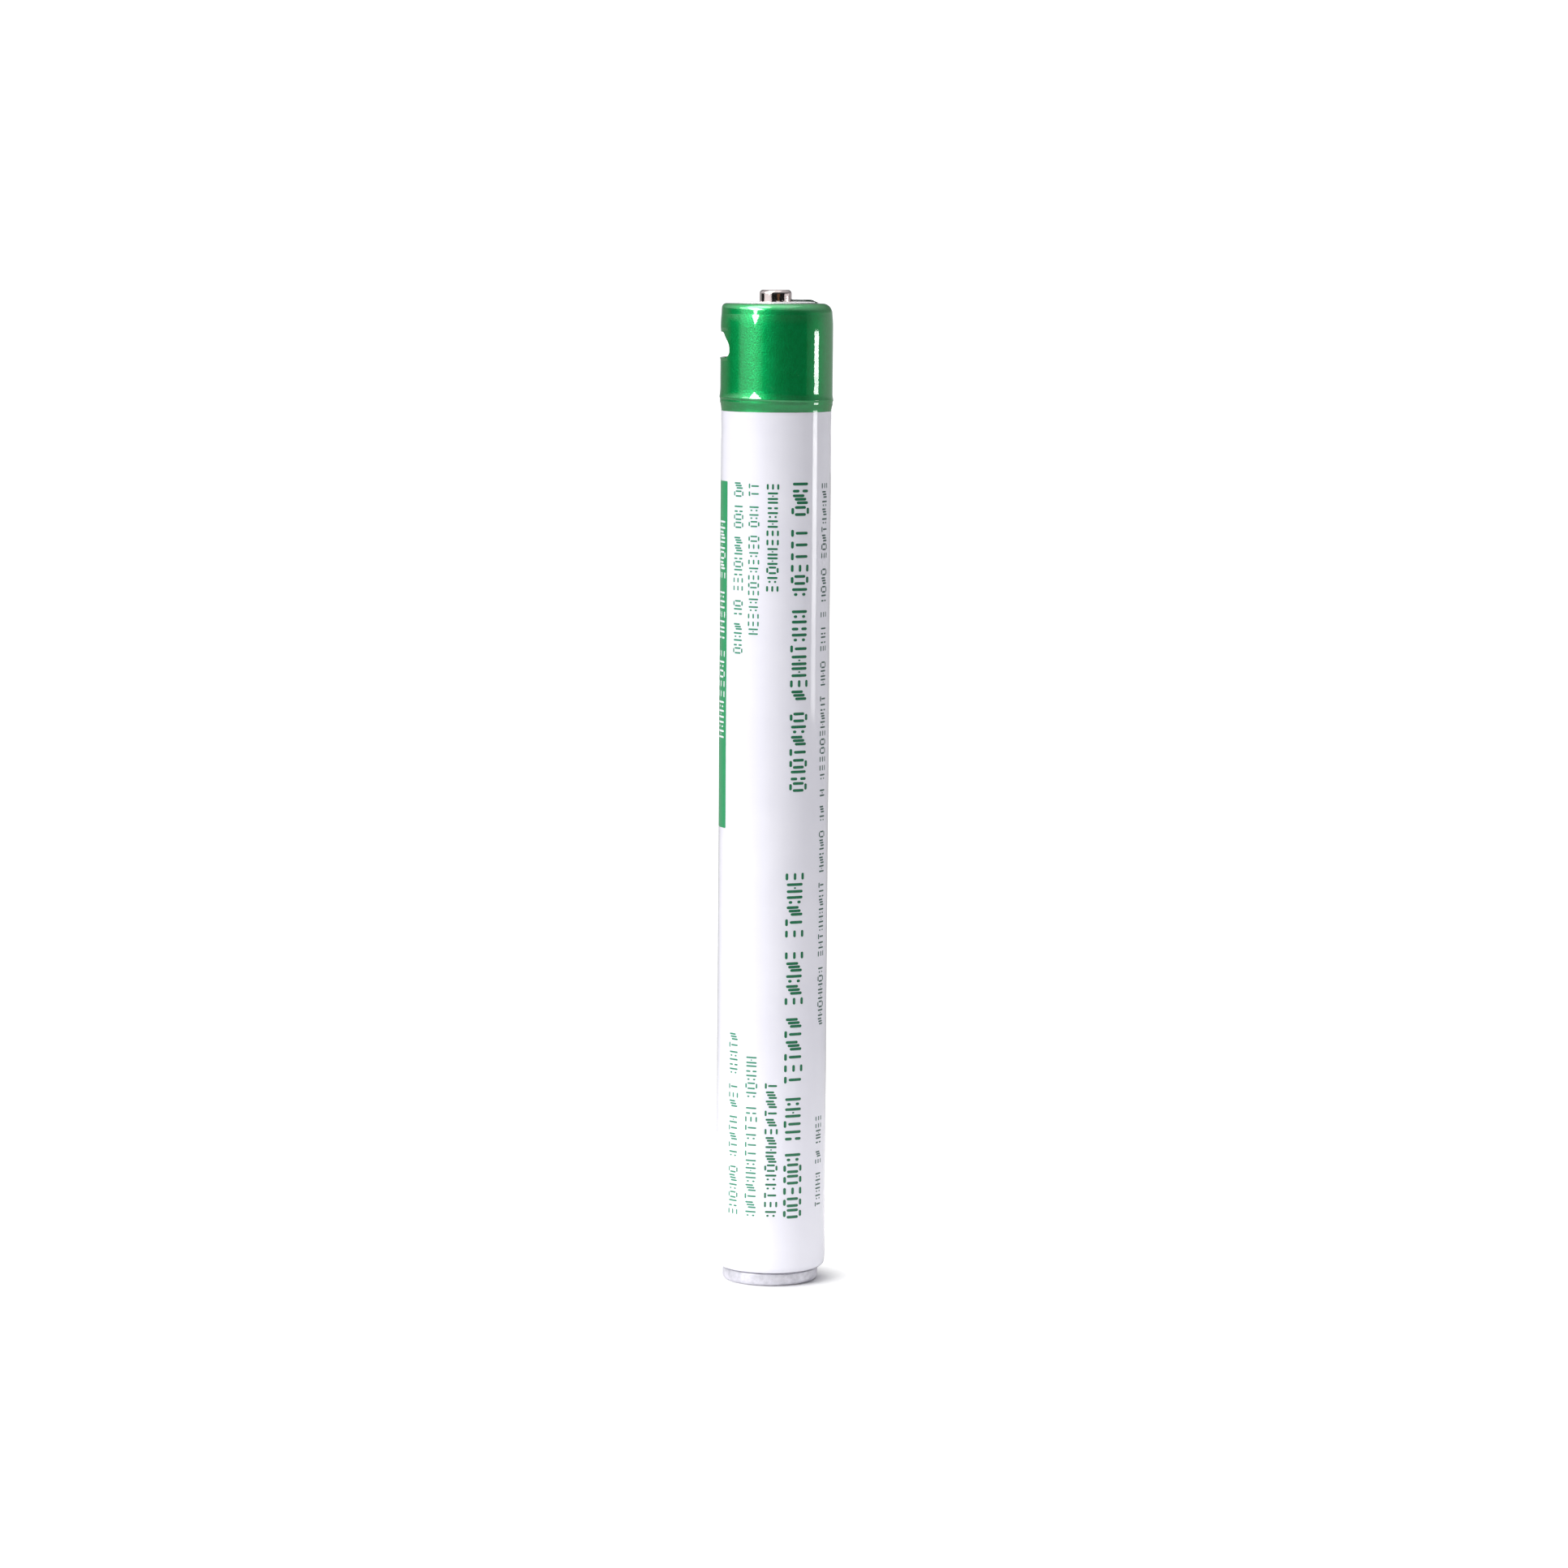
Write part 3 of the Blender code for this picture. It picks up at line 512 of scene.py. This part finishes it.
def ridge_height(angle, z):
    """How far the strip under the film lifts it."""
    across = smooth(27, 13, turn_between(angle, math.pi / 2))
    lower = smooth(BODY_LOW.z + 0.2, BODY_LOW.z + 0.7, z)
    upper = smooth(RIDGE_TOP, RIDGE_TOP - 0.95, z)
    return RIDGE * across * lower * upper


def body_swell(angle, z):
    """Slow unevenness of shrunk film, its swell above the lower lip and its groove below the seam."""
    wave = 0.010 * math.sin(z * 0.31 + 2.1 * math.cos(angle)) * math.sin(z * 0.083 + angle)
    swell = 0.035 * hill(z, LIP_SWELL, 0.9) * (1 + 0.5 * math.cos(angle - front_angle(80)))
    groove = -0.03 * hill(z, GROOVE, 0.8)
    lower = smooth(BODY_LOW.z + 0.6, BODY_LOW.z + 1.2, z)
    upper = smooth(SEAM - 0.4, SEAM - 1.6, z)
    return (wave + swell + groove) * lower * upper


def body_surface(angle, z):
    return BODY_RADIUS + body_swell(angle, z) + ridge_height(angle, z)


# Pieces


def body_wrap():
    """White film over the body, turned in under its lower edge."""
    lip, lip_height, corner = 4.40, BODY_LOW.z + FILM / 2, 0.52
    middle = BODY_RADIUS - FILM / 2
    path = rounded(
        [(middle, SEAM - FILM_JOINT), (middle, lip_height, corner), (lip, lip_height)], False, 10,
    )

    def warp(radius, angle, z):
        return radius + body_swell(angle, z) + ridge_height(angle, z), z

    mesh = lathe(sheet(divided(path, 0.9), FILM), 180, warp)
    return finish_mesh("white_body_film", mesh, "white_film", ["body_wrap"])


def leftness(angle):
    """1 at the picture's left, where the port is, and -1 at its right."""
    return math.cos(angle - front_angle(-90))


def shoulder_radius(angle):
    """The head's top corner is tighter at the left than at the right."""
    return 0.66 - 0.24 * leftness(angle)


def bulge_height(angle):
    """Height of the bulge's peak. It sits a little lower at the right."""
    return BULGE + 0.12 * leftness(angle)


def lip_lift(angle):
    """How far the upper lip's edge stands up: on the far side, and in slight waves all round."""
    turn = math.degrees(angle - front_angle(0)) % 360
    return 0.27 * smooth(86, 122, turn) * smooth(196, 165, turn) + 0.008 * math.sin(9 * angle)


def wall_radius(z, peak):
    """Middle radius of the head's film at a height, where the bulge's peak is at the given one.

    Above the peak the film eases back to the head's radius, and tapers near the top. Below it the
    film steps in, swells once more, and narrows to the body's radius at the seam.
    """
    middle = HEAD_RADIUS - FILM / 2
    waist = BODY_RADIUS - FILM / 2
    reach = 0.76 + 1.6 * (peak - BULGE)
    rise = 0.07 * max(0.0, min(1.0, (peak + reach - z) / reach)) ** 2
    taper = 0.0387 * max(0.0, z - TAPER_START) ** 2
    step = middle + 0.015 + 0.022 * hill(z, peak - 0.46, 0.14)
    narrow = smooth(peak - 0.2, SEAM + 0.1, z)
    below = smooth(peak + 0.01, peak - 0.20, z)
    return (middle + rise - taper) * (1 - below) + (step + (waist - step) * narrow) * below


def head_wrap():
    """Green film over the head, turned in over its end, with the port's slot in it."""
    top = HEAD_HIGH.z - FILM / 2
    wall_end = top - SHOULDER - 0.01
    middle = wall_radius(wall_end, BULGE)
    fine, coarse = 0.035, 0.16
    bulge_low, bulge_high, tilt_end = 80.3, 81.7, 84
    heights = [SEAM + FILM_JOINT]
    while heights[-1] < top - SHOULDER - coarse:
        on_bulge = bulge_low < heights[-1] < bulge_high
        heights.append(heights[-1] + (fine if on_bulge else coarse))
    wall = [Vector((wall_radius(z, bulge_height(0.0)), z)) for z in heights]
    # The outline is drawn with the widest corner, and the warp tightens it
    shoulder = rounded([(middle, wall_end), (middle, top, SHOULDER), (LIP_EDGE, top)], False, 14)
    outline = sheet(wall + divided(shoulder, 0.2), -FILM)

    def warp(radius, angle, z):
        """Tilt the bulge, tighten the corner, lift the lip's edge, then add ridge and ripple."""
        if z < tilt_end:
            radius += wall_radius(z, bulge_height(angle)) - wall_radius(z, bulge_height(0.0))
        if radius > middle - SHOULDER and z > top - SHOULDER:
            share = shoulder_radius(angle) / SHOULDER
            radius = middle + (radius - middle) * share
            z = top + (z - top) * share
        ripple = 0.002 * math.sin(3 * angle + z * 1.3) * math.sin(z * 2.1 + 2 * angle)
        radius += ripple * smooth(SEAM, SEAM + 0.6, z) * smooth(LIP_EDGE + 0.05, LIP_EDGE + 0.65, radius)
        z += lip_lift(angle) * smooth(LIP_EDGE + 0.40, LIP_EDGE + 0.03, radius)
        return radius + ridge_height(angle, z), z

    obj = bpy.data.objects.new("green_head_film_blank", lathe(outline, 240, warp))
    bpy.context.scene.collection.objects.link(obj)
    cut_slot(obj)
    mesh = evaluated_copy(obj)
    curl_slot_edge(mesh)
    bpy.data.objects.remove(obj)
    return finish_mesh("green_head_film", mesh, "green_film", ["head_wrap"])


def slot_outline():
    """The slot as seen from the port's side, (y, z), with softly rounded ends."""
    return rounded([
        (-SLOT_HALF, SLOT_LOW, 0.60), (SLOT_HALF, SLOT_LOW, 0.60), (SLOT_HALF, SLOT_SHOULDER, 1.2),
        (SLOT_TOP_HALF, SLOT_HIGH, 0.7), (-SLOT_TOP_HALF, SLOT_HIGH, 0.7),
        (-SLOT_HALF, SLOT_SHOULDER, 1.2),
    ], steps=10)


def cut_slot(obj):
    """Cut the port's slot out of the film's -X side."""
    cut_start, cut_end = -7.0, -2.0
    outline = slot_outline()
    solid = loft("slot_cutter", [[(x, y, z) for y, z in outline] for x in (cut_start, cut_end)])
    cutter = bpy.data.objects.new("slot_cutter", solid)
    bpy.context.scene.collection.objects.link(cutter)
    modifier = obj.modifiers.new("slot", "BOOLEAN")
    modifier.operation = "DIFFERENCE"
    modifier.solver = "EXACT"
    modifier.object = cutter


def evaluated_copy(obj):
    """The object's mesh with its modifiers applied. Its Boolean cutters are removed."""
    bpy.context.view_layer.update()
    graph = bpy.context.evaluated_depsgraph_get()
    mesh = bpy.data.meshes.new_from_object(obj.evaluated_get(graph))
    for modifier in list(obj.modifiers):
        if modifier.type == "BOOLEAN":
            bpy.data.objects.remove(modifier.object)
    return mesh


def curl_slot_edge(mesh):
    """Heat has drawn the film in at the slot's top edge and turned it out at the lower one."""
    curl = 0.04
    for vert in mesh.vertices:
        x, y, z = vert.co / MM
        if x > 0 or abs(y) > SLOT_HALF + 0.6:
            continue
        along = smooth(SLOT_HALF + 0.4, SLOT_HALF - 1.2, abs(y))
        drawn_in = smooth(SLOT_HIGH - 1.1, SLOT_HIGH, z) * smooth(SLOT_HIGH + 0.5, SLOT_HIGH, z)
        turned_out = smooth(SLOT_LOW - 0.25, SLOT_LOW, z) * smooth(SLOT_LOW + 0.3, SLOT_LOW, z)
        radial = Vector((x, y, 0)).normalized()
        vert.co += radial * curl * (turned_out - drawn_in) * along * MM


def positive_button():
    """Drawn nickel button with a rounded rim and a faintly dished top."""
    side = BUTTON_RADIUS - PLATE / 2
    top, flange, flange_end = LENGTH - PLATE / 2, BUTTON_LOW.z + PLATE / 2, 2.5
    path = rounded([(0, top), (side, top, 0.26), (side, flange, 0.25), (flange_end, flange)], False, 10)

    def warp(radius, angle, z):
        dish = 0.03 * smooth(1.0, 0.0, radius) * smooth(LENGTH - 0.4, LENGTH - 0.2, z)
        return radius, z - dish

    mesh = lathe(sheet(divided(path, 0.3), PLATE), 96, warp)
    mesh.transform(Matrix.Translation(RIGHT * BUTTON_SHIFT * MM))
    return finish_mesh("nickel_button", mesh, "contact_nickel", ["positive_button"])


def negative_contact():
    """Pressed plate at the lower end, necked under its flange, with two dimples in its flat."""
    side = CONTACT_HIGH.x - 0.09 - PLATE / 2
    neck = side - 0.16
    neck_low, neck_high = BODY_LOW.z - 0.19, BODY_LOW.z - 0.12
    flange, flange_end = CONTACT_HIGH.z - PLATE / 2, 4.45
    path = rounded([
        (0, PLATE / 2), (side, PLATE / 2, 0.34), (side, neck_low, 0.05), (neck, neck_high, 0.05),
        (neck, flange, 0.05), (flange_end, flange),
    ], False, 8)

    def warp(radius, angle, z):
        x, y = radius * math.cos(angle), radius * math.sin(angle)
        dimple = sum(math.exp(-((x - middle) ** 2 + y * y) / 0.12) for middle in (-1.1, 1.1))
        return radius, z + 0.05 * dimple * smooth(0.35, 0.15, z)

    mesh = lathe(sheet(divided(path, 0.22), -PLATE), 128, warp)
    return finish_mesh("bottom_plate", mesh, "plate_nickel", ["negative_contact"])


def end_washer():
    """Insulating washer inside the film's upper lip. Its middle stands a little proud of the lip."""
    inner, step, outer = 1.65, 3.46, WASHER_HIGH.x
    low, ledge, land = WASHER_LOW.z, WASHER_LOW.z + 0.08, HEAD_HIGH.z + 0.09
    outline = rounded([
        (inner, low), (outer, low), (outer, ledge, 0.03), (step, ledge, 0.03), (step, land, 0.06),
        (inner, land, 0.03),
    ], steps=4)
    mesh = lathe(divided(outline + outline[:1], 0.3)[:-1], 120)
    return finish_mesh("end_washer", mesh, "end_washer", ["top_insulator"])


# The charging socket


def socket_section(x, grow, corner):
    """One section of the socket's shell, grown or shrunk all round, at a distance along its axis."""
    half, low, high = SHELL_HIGH.y + grow, SHELL_LOW.z - grow, SHELL_HIGH.z + grow
    top_half, shoulder = 2.75 + grow * 0.6, (SHELL_LOW.z + SHELL_HIGH.z) / 2 + 0.24
    upper = corner * 1.4
    outline = rounded([
        (-half, low, corner), (half, low, corner), (half, shoulder, upper),
        (top_half, high, upper), (-top_half, high, upper), (-half, shoulder, upper),
    ])
    return [(x, y, z) for y, z in outline]


def socket_shell():
    """Folded shell: outer skin, rolled mouth and inner skin in one closed surface."""
    wall, front, back = 0.25, SHELL_LOW.x, SHELL_HIGH.x
    outside, inside = 0.30, 0.14
    mesh = loft("socket_shell", [
        socket_section(back, 0.0, outside), socket_section(front + 0.10, 0.0, outside),
        socket_section(front + 0.03, -0.03, outside), socket_section(front, -0.09, outside * 0.8),
        socket_section(front + 0.03, -wall + 0.06, inside), socket_section(front + 0.14, -wall, inside),
        socket_section(back, -wall, inside),
    ], capped=False)
    return finish_mesh("socket_shell", mesh, "socket_steel", ["usb_shell"], sharp=35)


# Printed marks. They stand in for the label's print and are plain strokes, not letters.

INK = 0.012  # thickness
INK_GAP = 0.001  # between the ink and the film
CURVE_STEPS = 4  # in a quarter circle
GROUP_GAP = 0.9  # extra space between two groups of marks, as a share of the marks' pitch
UPPER_TOP = 73.3  # height where the upper groups of print start
LOWER_END = 6.3  # height where the lower groups end


def eased(radius):
    """Distances from the end of a round corner to the rows of points that draw it."""
    quarter = math.pi / 2
    return [radius * (1 - math.cos(quarter * k / CURVE_STEPS)) for k in range(CURVE_STEPS + 1)]


def rim(rows):
    """The points round the edge of a grid, in order."""
    inner = rows[1:-1]
    return rows[0] + [row[-1] for row in inner] + rows[-1][::-1] + [row[0] for row in inner[::-1]]


class Print:
    """Thin plates of ink that lie on the body's film, or on the ink under them."""

    def __init__(self, lift=0.0):
        self.bm = bmesh.new()
        self.lift = lift

    def point(self, u, v, height):
        """A point over the film's surface. u runs round it in millimetres from the camera's side."""
        angle = front_angle(0) + u / BODY_RADIUS
        radius = body_surface(angle, v) + INK_GAP + self.lift + height
        return Vector((radius * math.cos(angle), radius * math.sin(angle), v)) * MM

    def plate(self, rows):
        """A closed plate from rows of (u, v) points, each row as long as the others."""
        top, low = (
            [[self.bm.verts.new(self.point(u, v, height)) for u, v in row] for row in rows]
            for height in (INK, 0.0)
        )
        for layer in (top, low):
            for a, b in zip(layer, layer[1:]):
                for corners in zip(a, a[1:], b[1:], b):
                    self.bm.faces.new(corners)
        bridge(self.bm, rim(top), rim(low))

    def stroke(self, start, end, width):
        """A round-ended stroke between two (u, v) points."""
        start, end = Vector(start), Vector(end)
        along = (end - start).normalized()
        side = Vector((-along.y, along.x)) * width / 2
        length = (end - start).length
        cap = width / 2
        straight, pieces = length - 2 * cap, 5
        ends = eased(cap)
        body = [cap + straight * k / pieces for k in range(1, pieces)] if straight > 0 else []
        rows = []
        for s in ends + body + [length - e for e in reversed(ends)]:
            inset = max(0.0, cap - min(s, length - s))
            half = math.sqrt(max(0.02, 1 - (inset / cap) ** 2))
            centre = start + along * s
            rows.append([tuple(centre - side * half), tuple(centre + side * half)])
        self.plate(rows)

    def block(self, u_low, u_high, v_low, v_high, corner):
        """A solid rectangle with rounded corners."""
        columns, pieces = 14, 24
        ends = eased(corner)
        straight = v_high - v_low - 2 * corner
        middle = [v_low + corner + straight * k / pieces for k in range(1, pieces)]
        rows = []
        for v in [v_low + e for e in ends] + middle + [v_high - e for e in reversed(ends)]:
            inset = max(0.0, corner - min(v - v_low, v_high - v))
            pull = corner - math.sqrt(max(0.0, corner * corner - inset * inset))
            width = u_high - u_low - 2 * pull
            rows.append([(u_low + pull + width * i / columns, v) for i in range(columns + 1)])
        self.plate(rows)

    def finish(self, name, finish):
        return finish_mesh(name, mesh_from(self.bm, name), finish)


# Each mark is a few separate strokes in a unit cell: (height, along) of each stroke's two ends.
# Height 0 is the row's baseline, along 1 is the side where the row ends.
MARKS = [
    [(0, 0, 1, 0), (0, 1, 1, 1), (0.5, 0.38, 0.5, 0.62)],
    [(0, 0, 0, 1), (0.5, 0, 0.5, 1), (1, 0, 1, 1)],
    [(0, 0, 0, 1), (0.2, 0.5, 1, 0.5)],
    [(0, 0, 0.75, 0), (0.12, 0.5, 0.88, 0.5), (0.25, 1, 1, 1)],
    [(0, 0, 1, 0), (0, 1, 0.42, 1), (0.62, 1, 1, 1)],
    [(0, 0.2, 1, 0.2), (0.12, 0.9, 0.34, 0.9), (0.66, 0.9, 0.88, 0.9)],
    [(0, 0.05, 0, 0.95), (1, 0.05, 1, 0.95), (0.14, 0, 0.86, 0), (0.14, 1, 0.86, 1)],
]


def print_row(layer, seed, base_degrees, height, v_top, v_bottom, groups, weight):
    """A row of marks that runs down the battery, in groups with gaps between them."""
    dice = random.Random(seed)
    base = math.radians(base_degrees) * BODY_RADIUS
    pitch = (v_top - v_bottom) / (sum(groups) + GROUP_GAP * (len(groups) - 1))
    width = 0.60 * pitch
    v = v_top
    for group in groups:
        for _ in range(group):
            for low, start, high, end in dice.choice(MARKS):
                first = (base + low * height, v - start * width)
                last = (base + high * height, v - end * width)
                layer.stroke(first, last, weight)
            v -= pitch
        v -= GROUP_GAP * pitch


def print_layer(name, finish, rows, lift=0.0):
    """One piece made of rows of marks.

    A row is its seed, its baseline in degrees from the camera's side, the marks' height, the row's
    top and bottom, the number of marks in each group, and the width of a stroke.
    """
    layer = Print(lift)
    for row in rows:
        print_row(layer, *row)
    layer.finish(name, finish)


def front_print():
    """The rows of print that face the camera."""
    print_layer("mint_print", "mint_ink", [
        (11, -47.2, 0.98, UPPER_TOP, 57.7, (2, 3, 7, 2, 4), 0.145),
        (12, -49.0, 0.98, 23.2, LOWER_END, (5, 3, 5, 6), 0.145),
        (13, -27.8, 0.92, UPPER_TOP, 59.5, (2, 3, 13), 0.145),
        (14, -27.0, 1.02, 21.2, LOWER_END, (5, 13), 0.145),
    ])
    print_layer("green_print", "green_ink", [
        (15, -7.9, 0.94, UPPER_TOP, 63.3, (12,), 0.18),
        (16, -5.4, 1.02, 18.9, LOWER_END, (15,), 0.18),
        (17, 18.2, 1.52, UPPER_TOP, 45.2, (3, 6, 8, 7), 0.25),
        (18, 15.0, 1.56, 38.1, LOWER_END - 0.2, (6, 5, 6, 4, 6), 0.25),
    ])
    print_layer("grey_print", "grey_ink", [
        (21, 57.3, 0.86, UPPER_TOP, 23.7, (9, 4, 1, 3, 3, 10, 1, 2, 5, 9, 7), 0.14),
        (22, 55.3, 0.86, 15.5, 6.9, (4, 2, 5), 0.14),
    ])


def side_block():
    """Solid green block at the picture's left, with pale marks on it."""
    block = Print()
    right, left = (math.radians(degrees) * BODY_RADIUS for degrees in (-60.0, -85.5))
    block.block(left, right, 41.9, 73.4, 0.10)
    block.finish("green_block", "block_ink")
    print_layer("pale_marks", "white_ink", [(31, -81.0, 1.42, 69.7, 49.8, (6, 5, 9), 0.17)], INK + 0.002)


def back_print():
    """Generic print on the side away from the camera."""
    print_layer("back_print", "green_ink", [
        (41, -118.0, 1.20, UPPER_TOP, 45.0, (5, 7, 4, 6), 0.14),
        (42, -136.0, 0.92, UPPER_TOP, 52.0, (4, 8, 3, 5), 0.145),
        (43, 96.0, 0.92, UPPER_TOP, 40.0, (6, 3, 8, 5, 4), 0.145),
        (44, 116.0, 0.92, 34.0, LOWER_END, (4, 6, 7), 0.145),
        (45, -118.0, 0.92, 26.0, LOWER_END, (3, 6, 6), 0.145),
    ])


# The studio


def floor():
    """A round pale floor that fades into the white surroundings.

    The camera sees it fade within a few millimetres of the battery's axis, so that only the
    contact's shadow is left. Reflections and bounced light see it fade further out.
    """
    radius, depth, sink = 1500.0, 10.0, 0.005
    mesh = lathe([(0.0, 0.0), (radius, 0.0), (radius, -depth), (0.0, -depth)], 96)
    n = Finish("pale_floor")
    n.set(Base_Color=n.mix(n.noise(1.5, 3.0), (0.93, 0.93, 0.935), (0.95, 0.95, 0.955)), Roughness=0.7)
    seen = n.add("ShaderNodeLightPath").outputs["Is Camera Ray"]

    def by_ray(others, camera_rays):
        return n.remap(seen, 0.0, 1.0, others, camera_rays)

    fade_start, fade_end = by_ray(50 * MM, 4.6 * MM), by_ray(140 * MM, 8.8 * MM)
    far = n.remap(n.vector_math("LENGTH", n.position), fade_start, fade_end)
    white = n.add("ShaderNodeEmission", {"Color": (1.0, 1.0, 1.0), "Strength": by_ray(0.35, 1.25)})
    mixed = n.add("ShaderNodeMixShader", {0: far, 1: n.shader.outputs[0], 2: white.outputs[0]})
    n.feed(n.tree.nodes["Material Output"].inputs["Surface"], mixed.outputs[0])
    mesh.materials.append(n.material)
    mesh.shade_smooth()
    obj = bpy.data.objects.new("floor", mesh)
    bpy.context.scene.collection.objects.link(obj)
    obj.location.z = -sink * MM


def surroundings():
    """A white studio behind the battery and to its left, and a dark room behind the camera."""
    world = bpy.data.worlds.new("studio")
    bpy.context.scene.world = world
    world.use_nodes = True
    n = Nodes(world.node_tree)
    direction = n.add("ShaderNodeTexCoord").outputs["Generated"]
    right, front, height = (n.vector_math("DOT_PRODUCT", direction, axis) for axis in (RIGHT, FRONT, UP))
    turn = n.remap(n.math("ARCTAN2", right, front), -math.pi, math.pi)

    def ring(*stops):
        """Light round the horizon. Each stop is (degrees from the camera's side, brightness)."""
        return n.ramp(turn, *(((degrees + 180) / 360, (tone, tone, tone * 1.04)) for degrees, tone in stops))

    def above(low, high):
        """0 up to one elevation in degrees, 1 from the other on."""
        return n.remap(height, math.sin(math.radians(low)), math.sin(math.radians(high)))

    low = ring(
        (-180, 0.9), (-168, 0.50), (-150, 0.22), (-128, 0.20), (-108, 0.01), (-86, 0.01), (-76, 0.36),
        (-46, 0.36), (-26, 0.01), (63.5, 0.01), (66, 0.07), (90, 0.14), (120, 0.4), (160, 0.45),
        (172, 0.9), (180, 0.9),
    )
    middle = ring(
        (-180, 0.12), (-150, 0.30), (-120, 0.65), (-45, 0.60), (-20, 0.05), (60, 0.05), (110, 0.25),
        (140, 0.25), (180, 0.12),
    )
    light = n.mix(above(20, 55), n.mix(above(3, 8), low, middle), (0.60, 0.60, 0.62))
    seen = n.add("ShaderNodeLightPath").outputs["Is Camera Ray"]
    n.feed(n.tree.nodes["Background"].inputs["Color"], n.mix(seen, light, (1.25, 1.25, 1.25)))


def panel(name, turn, elevation, distance, width, height, radiance, shape="RECTANGLE", aim=45.0, spin=0.0):
    """A soft flat light. turn is in degrees from the camera's side, aim a height on the axis."""
    light = bpy.data.lights.new(name, "AREA")
    light.shape = shape
    light.size, light.size_y = width * MM, height * MM
    area = light.size * light.size_y * (math.pi / 4 if shape == "ELLIPSE" else 1)
    light.energy = radiance * math.pi * area
    obj = bpy.data.objects.new(name, light)
    bpy.context.scene.collection.objects.link(obj)
    turn, elevation = math.radians(turn), math.radians(elevation)
    level = FRONT * math.cos(turn) + RIGHT * math.sin(turn)
    direction = level * math.cos(elevation) + UP * math.sin(elevation)
    obj.location = UP * aim * MM + direction * distance * MM
    obj.rotation_mode = "QUATERNION"
    roll = Quaternion((0, 0, 1), math.radians(spin))
    obj.rotation_quaternion = direction.to_track_quat("Z", "Y") @ roll
    obj.visible_camera = False
    return obj


def light_only(light, pieces):
    """Keep a light for a few pieces, as a shade round it would."""
    chosen = bpy.data.collections.new(light.name + "_pieces")
    for piece in pieces:
        chosen.objects.link(piece)
    light.light_linking.receiver_collection = chosen


# The strip light at the right, by bottom, top and brightness. It is dimmer towards the floor.
EDGE_STRIP = [(67, 78.6, 6.6), (42, 67, 4.6), (22, 42, 3.6), (6, 22, 2.4)]

# Cards round the button: degrees from the camera's side, half the spread in degrees, brightness, colour
BUTTON_CARDS = [
    (-58, 30, 0.72, (1.0, 0.96, 0.97)), (21, 9, 0.13, (1.0, 0.45, 0.20)), (88, 21, 0.65, (1.0, 0.95, 0.97)),
    (-150, 30, 0.20, (1.0, 1.0, 1.0)),
]


def lights():
    """The lights that fall on every piece."""
    shoulder_height = 84.0
    panel("key", -66, 31, 650, 480, 420, 2.3, "ELLIPSE")
    panel("key_core", -45, 20.2, 650, 305, 305, 6.6, aim=shoulder_height, spin=45)
    panel("key_top", -52, 54, 650, 480, 540, 3.0, "ELLIPSE", aim=shoulder_height)
    panel("overhead", 0, 88, 800, 700, 700, 0.8)
    for low, high, radiance in EDGE_STRIP:
        panel("edge_strip", 89.5, 0, 500, 104, high - low, radiance, aim=(low + high) / 2)


def button_cards(button):
    """Reflector cards for the small button, the warm one for its brown streak."""
    distance, height, aim = 300.0, 60.0, LENGTH - 5
    for turn, spread, radiance, colour in BUTTON_CARDS:
        width = 2 * distance * math.tan(math.radians(spread))
        card = panel("button_card", turn, 0, distance, width, height, radiance, aim=aim)
        card.data.color = colour
        light_only(card, [button])


def body_fill(pieces):
    """Fill light from above at the right, for the body."""
    light_only(panel("body_fill", 100, 50, 600, 500, 500, 2.6), pieces)


def camera():
    """The viewpoint: level with the head, about half a metre away, looking slightly down."""
    across, away, height = 2.77, 475.9, 97.48
    pitch, yaw, roll = 0.10836, -0.00382, 0.0076
    data = bpy.data.cameras.new("camera")
    data.sensor_width = 36.0
    data.lens = 120.5
    data.clip_start, data.clip_end = 0.01, 20.0
    obj = bpy.data.objects.new("camera", data)
    bpy.context.scene.collection.objects.link(obj)
    ahead = -FRONT * math.cos(yaw) + RIGHT * math.sin(yaw)
    forward = ahead * math.cos(pitch) - UP * math.sin(pitch)
    level_right = forward.cross(UP).normalized()
    level_up = level_right.cross(forward)
    right = level_right * math.cos(roll) + level_up * math.sin(roll)
    up = level_up * math.cos(roll) - level_right * math.sin(roll)
    place = (RIGHT * across + FRONT * away + UP * height) * MM
    rotation = Matrix((right, up, -forward)).transposed()
    obj.matrix_world = Matrix.Translation(place) @ rotation.to_4x4()
    bpy.context.scene.camera = obj


def build():
    bpy.context.scene.view_settings.view_transform = "Standard"
    make_finishes()
    paint_cad_nodes()
    film = body_wrap()
    head_wrap()
    button = positive_button()
    plate = negative_contact()
    end_washer()
    socket_shell()
    front_print()
    side_block()
    back_print()
    floor()
    surroundings()
    lights()
    button_cards(button)
    body_fill([film, plate])
    camera()


build()
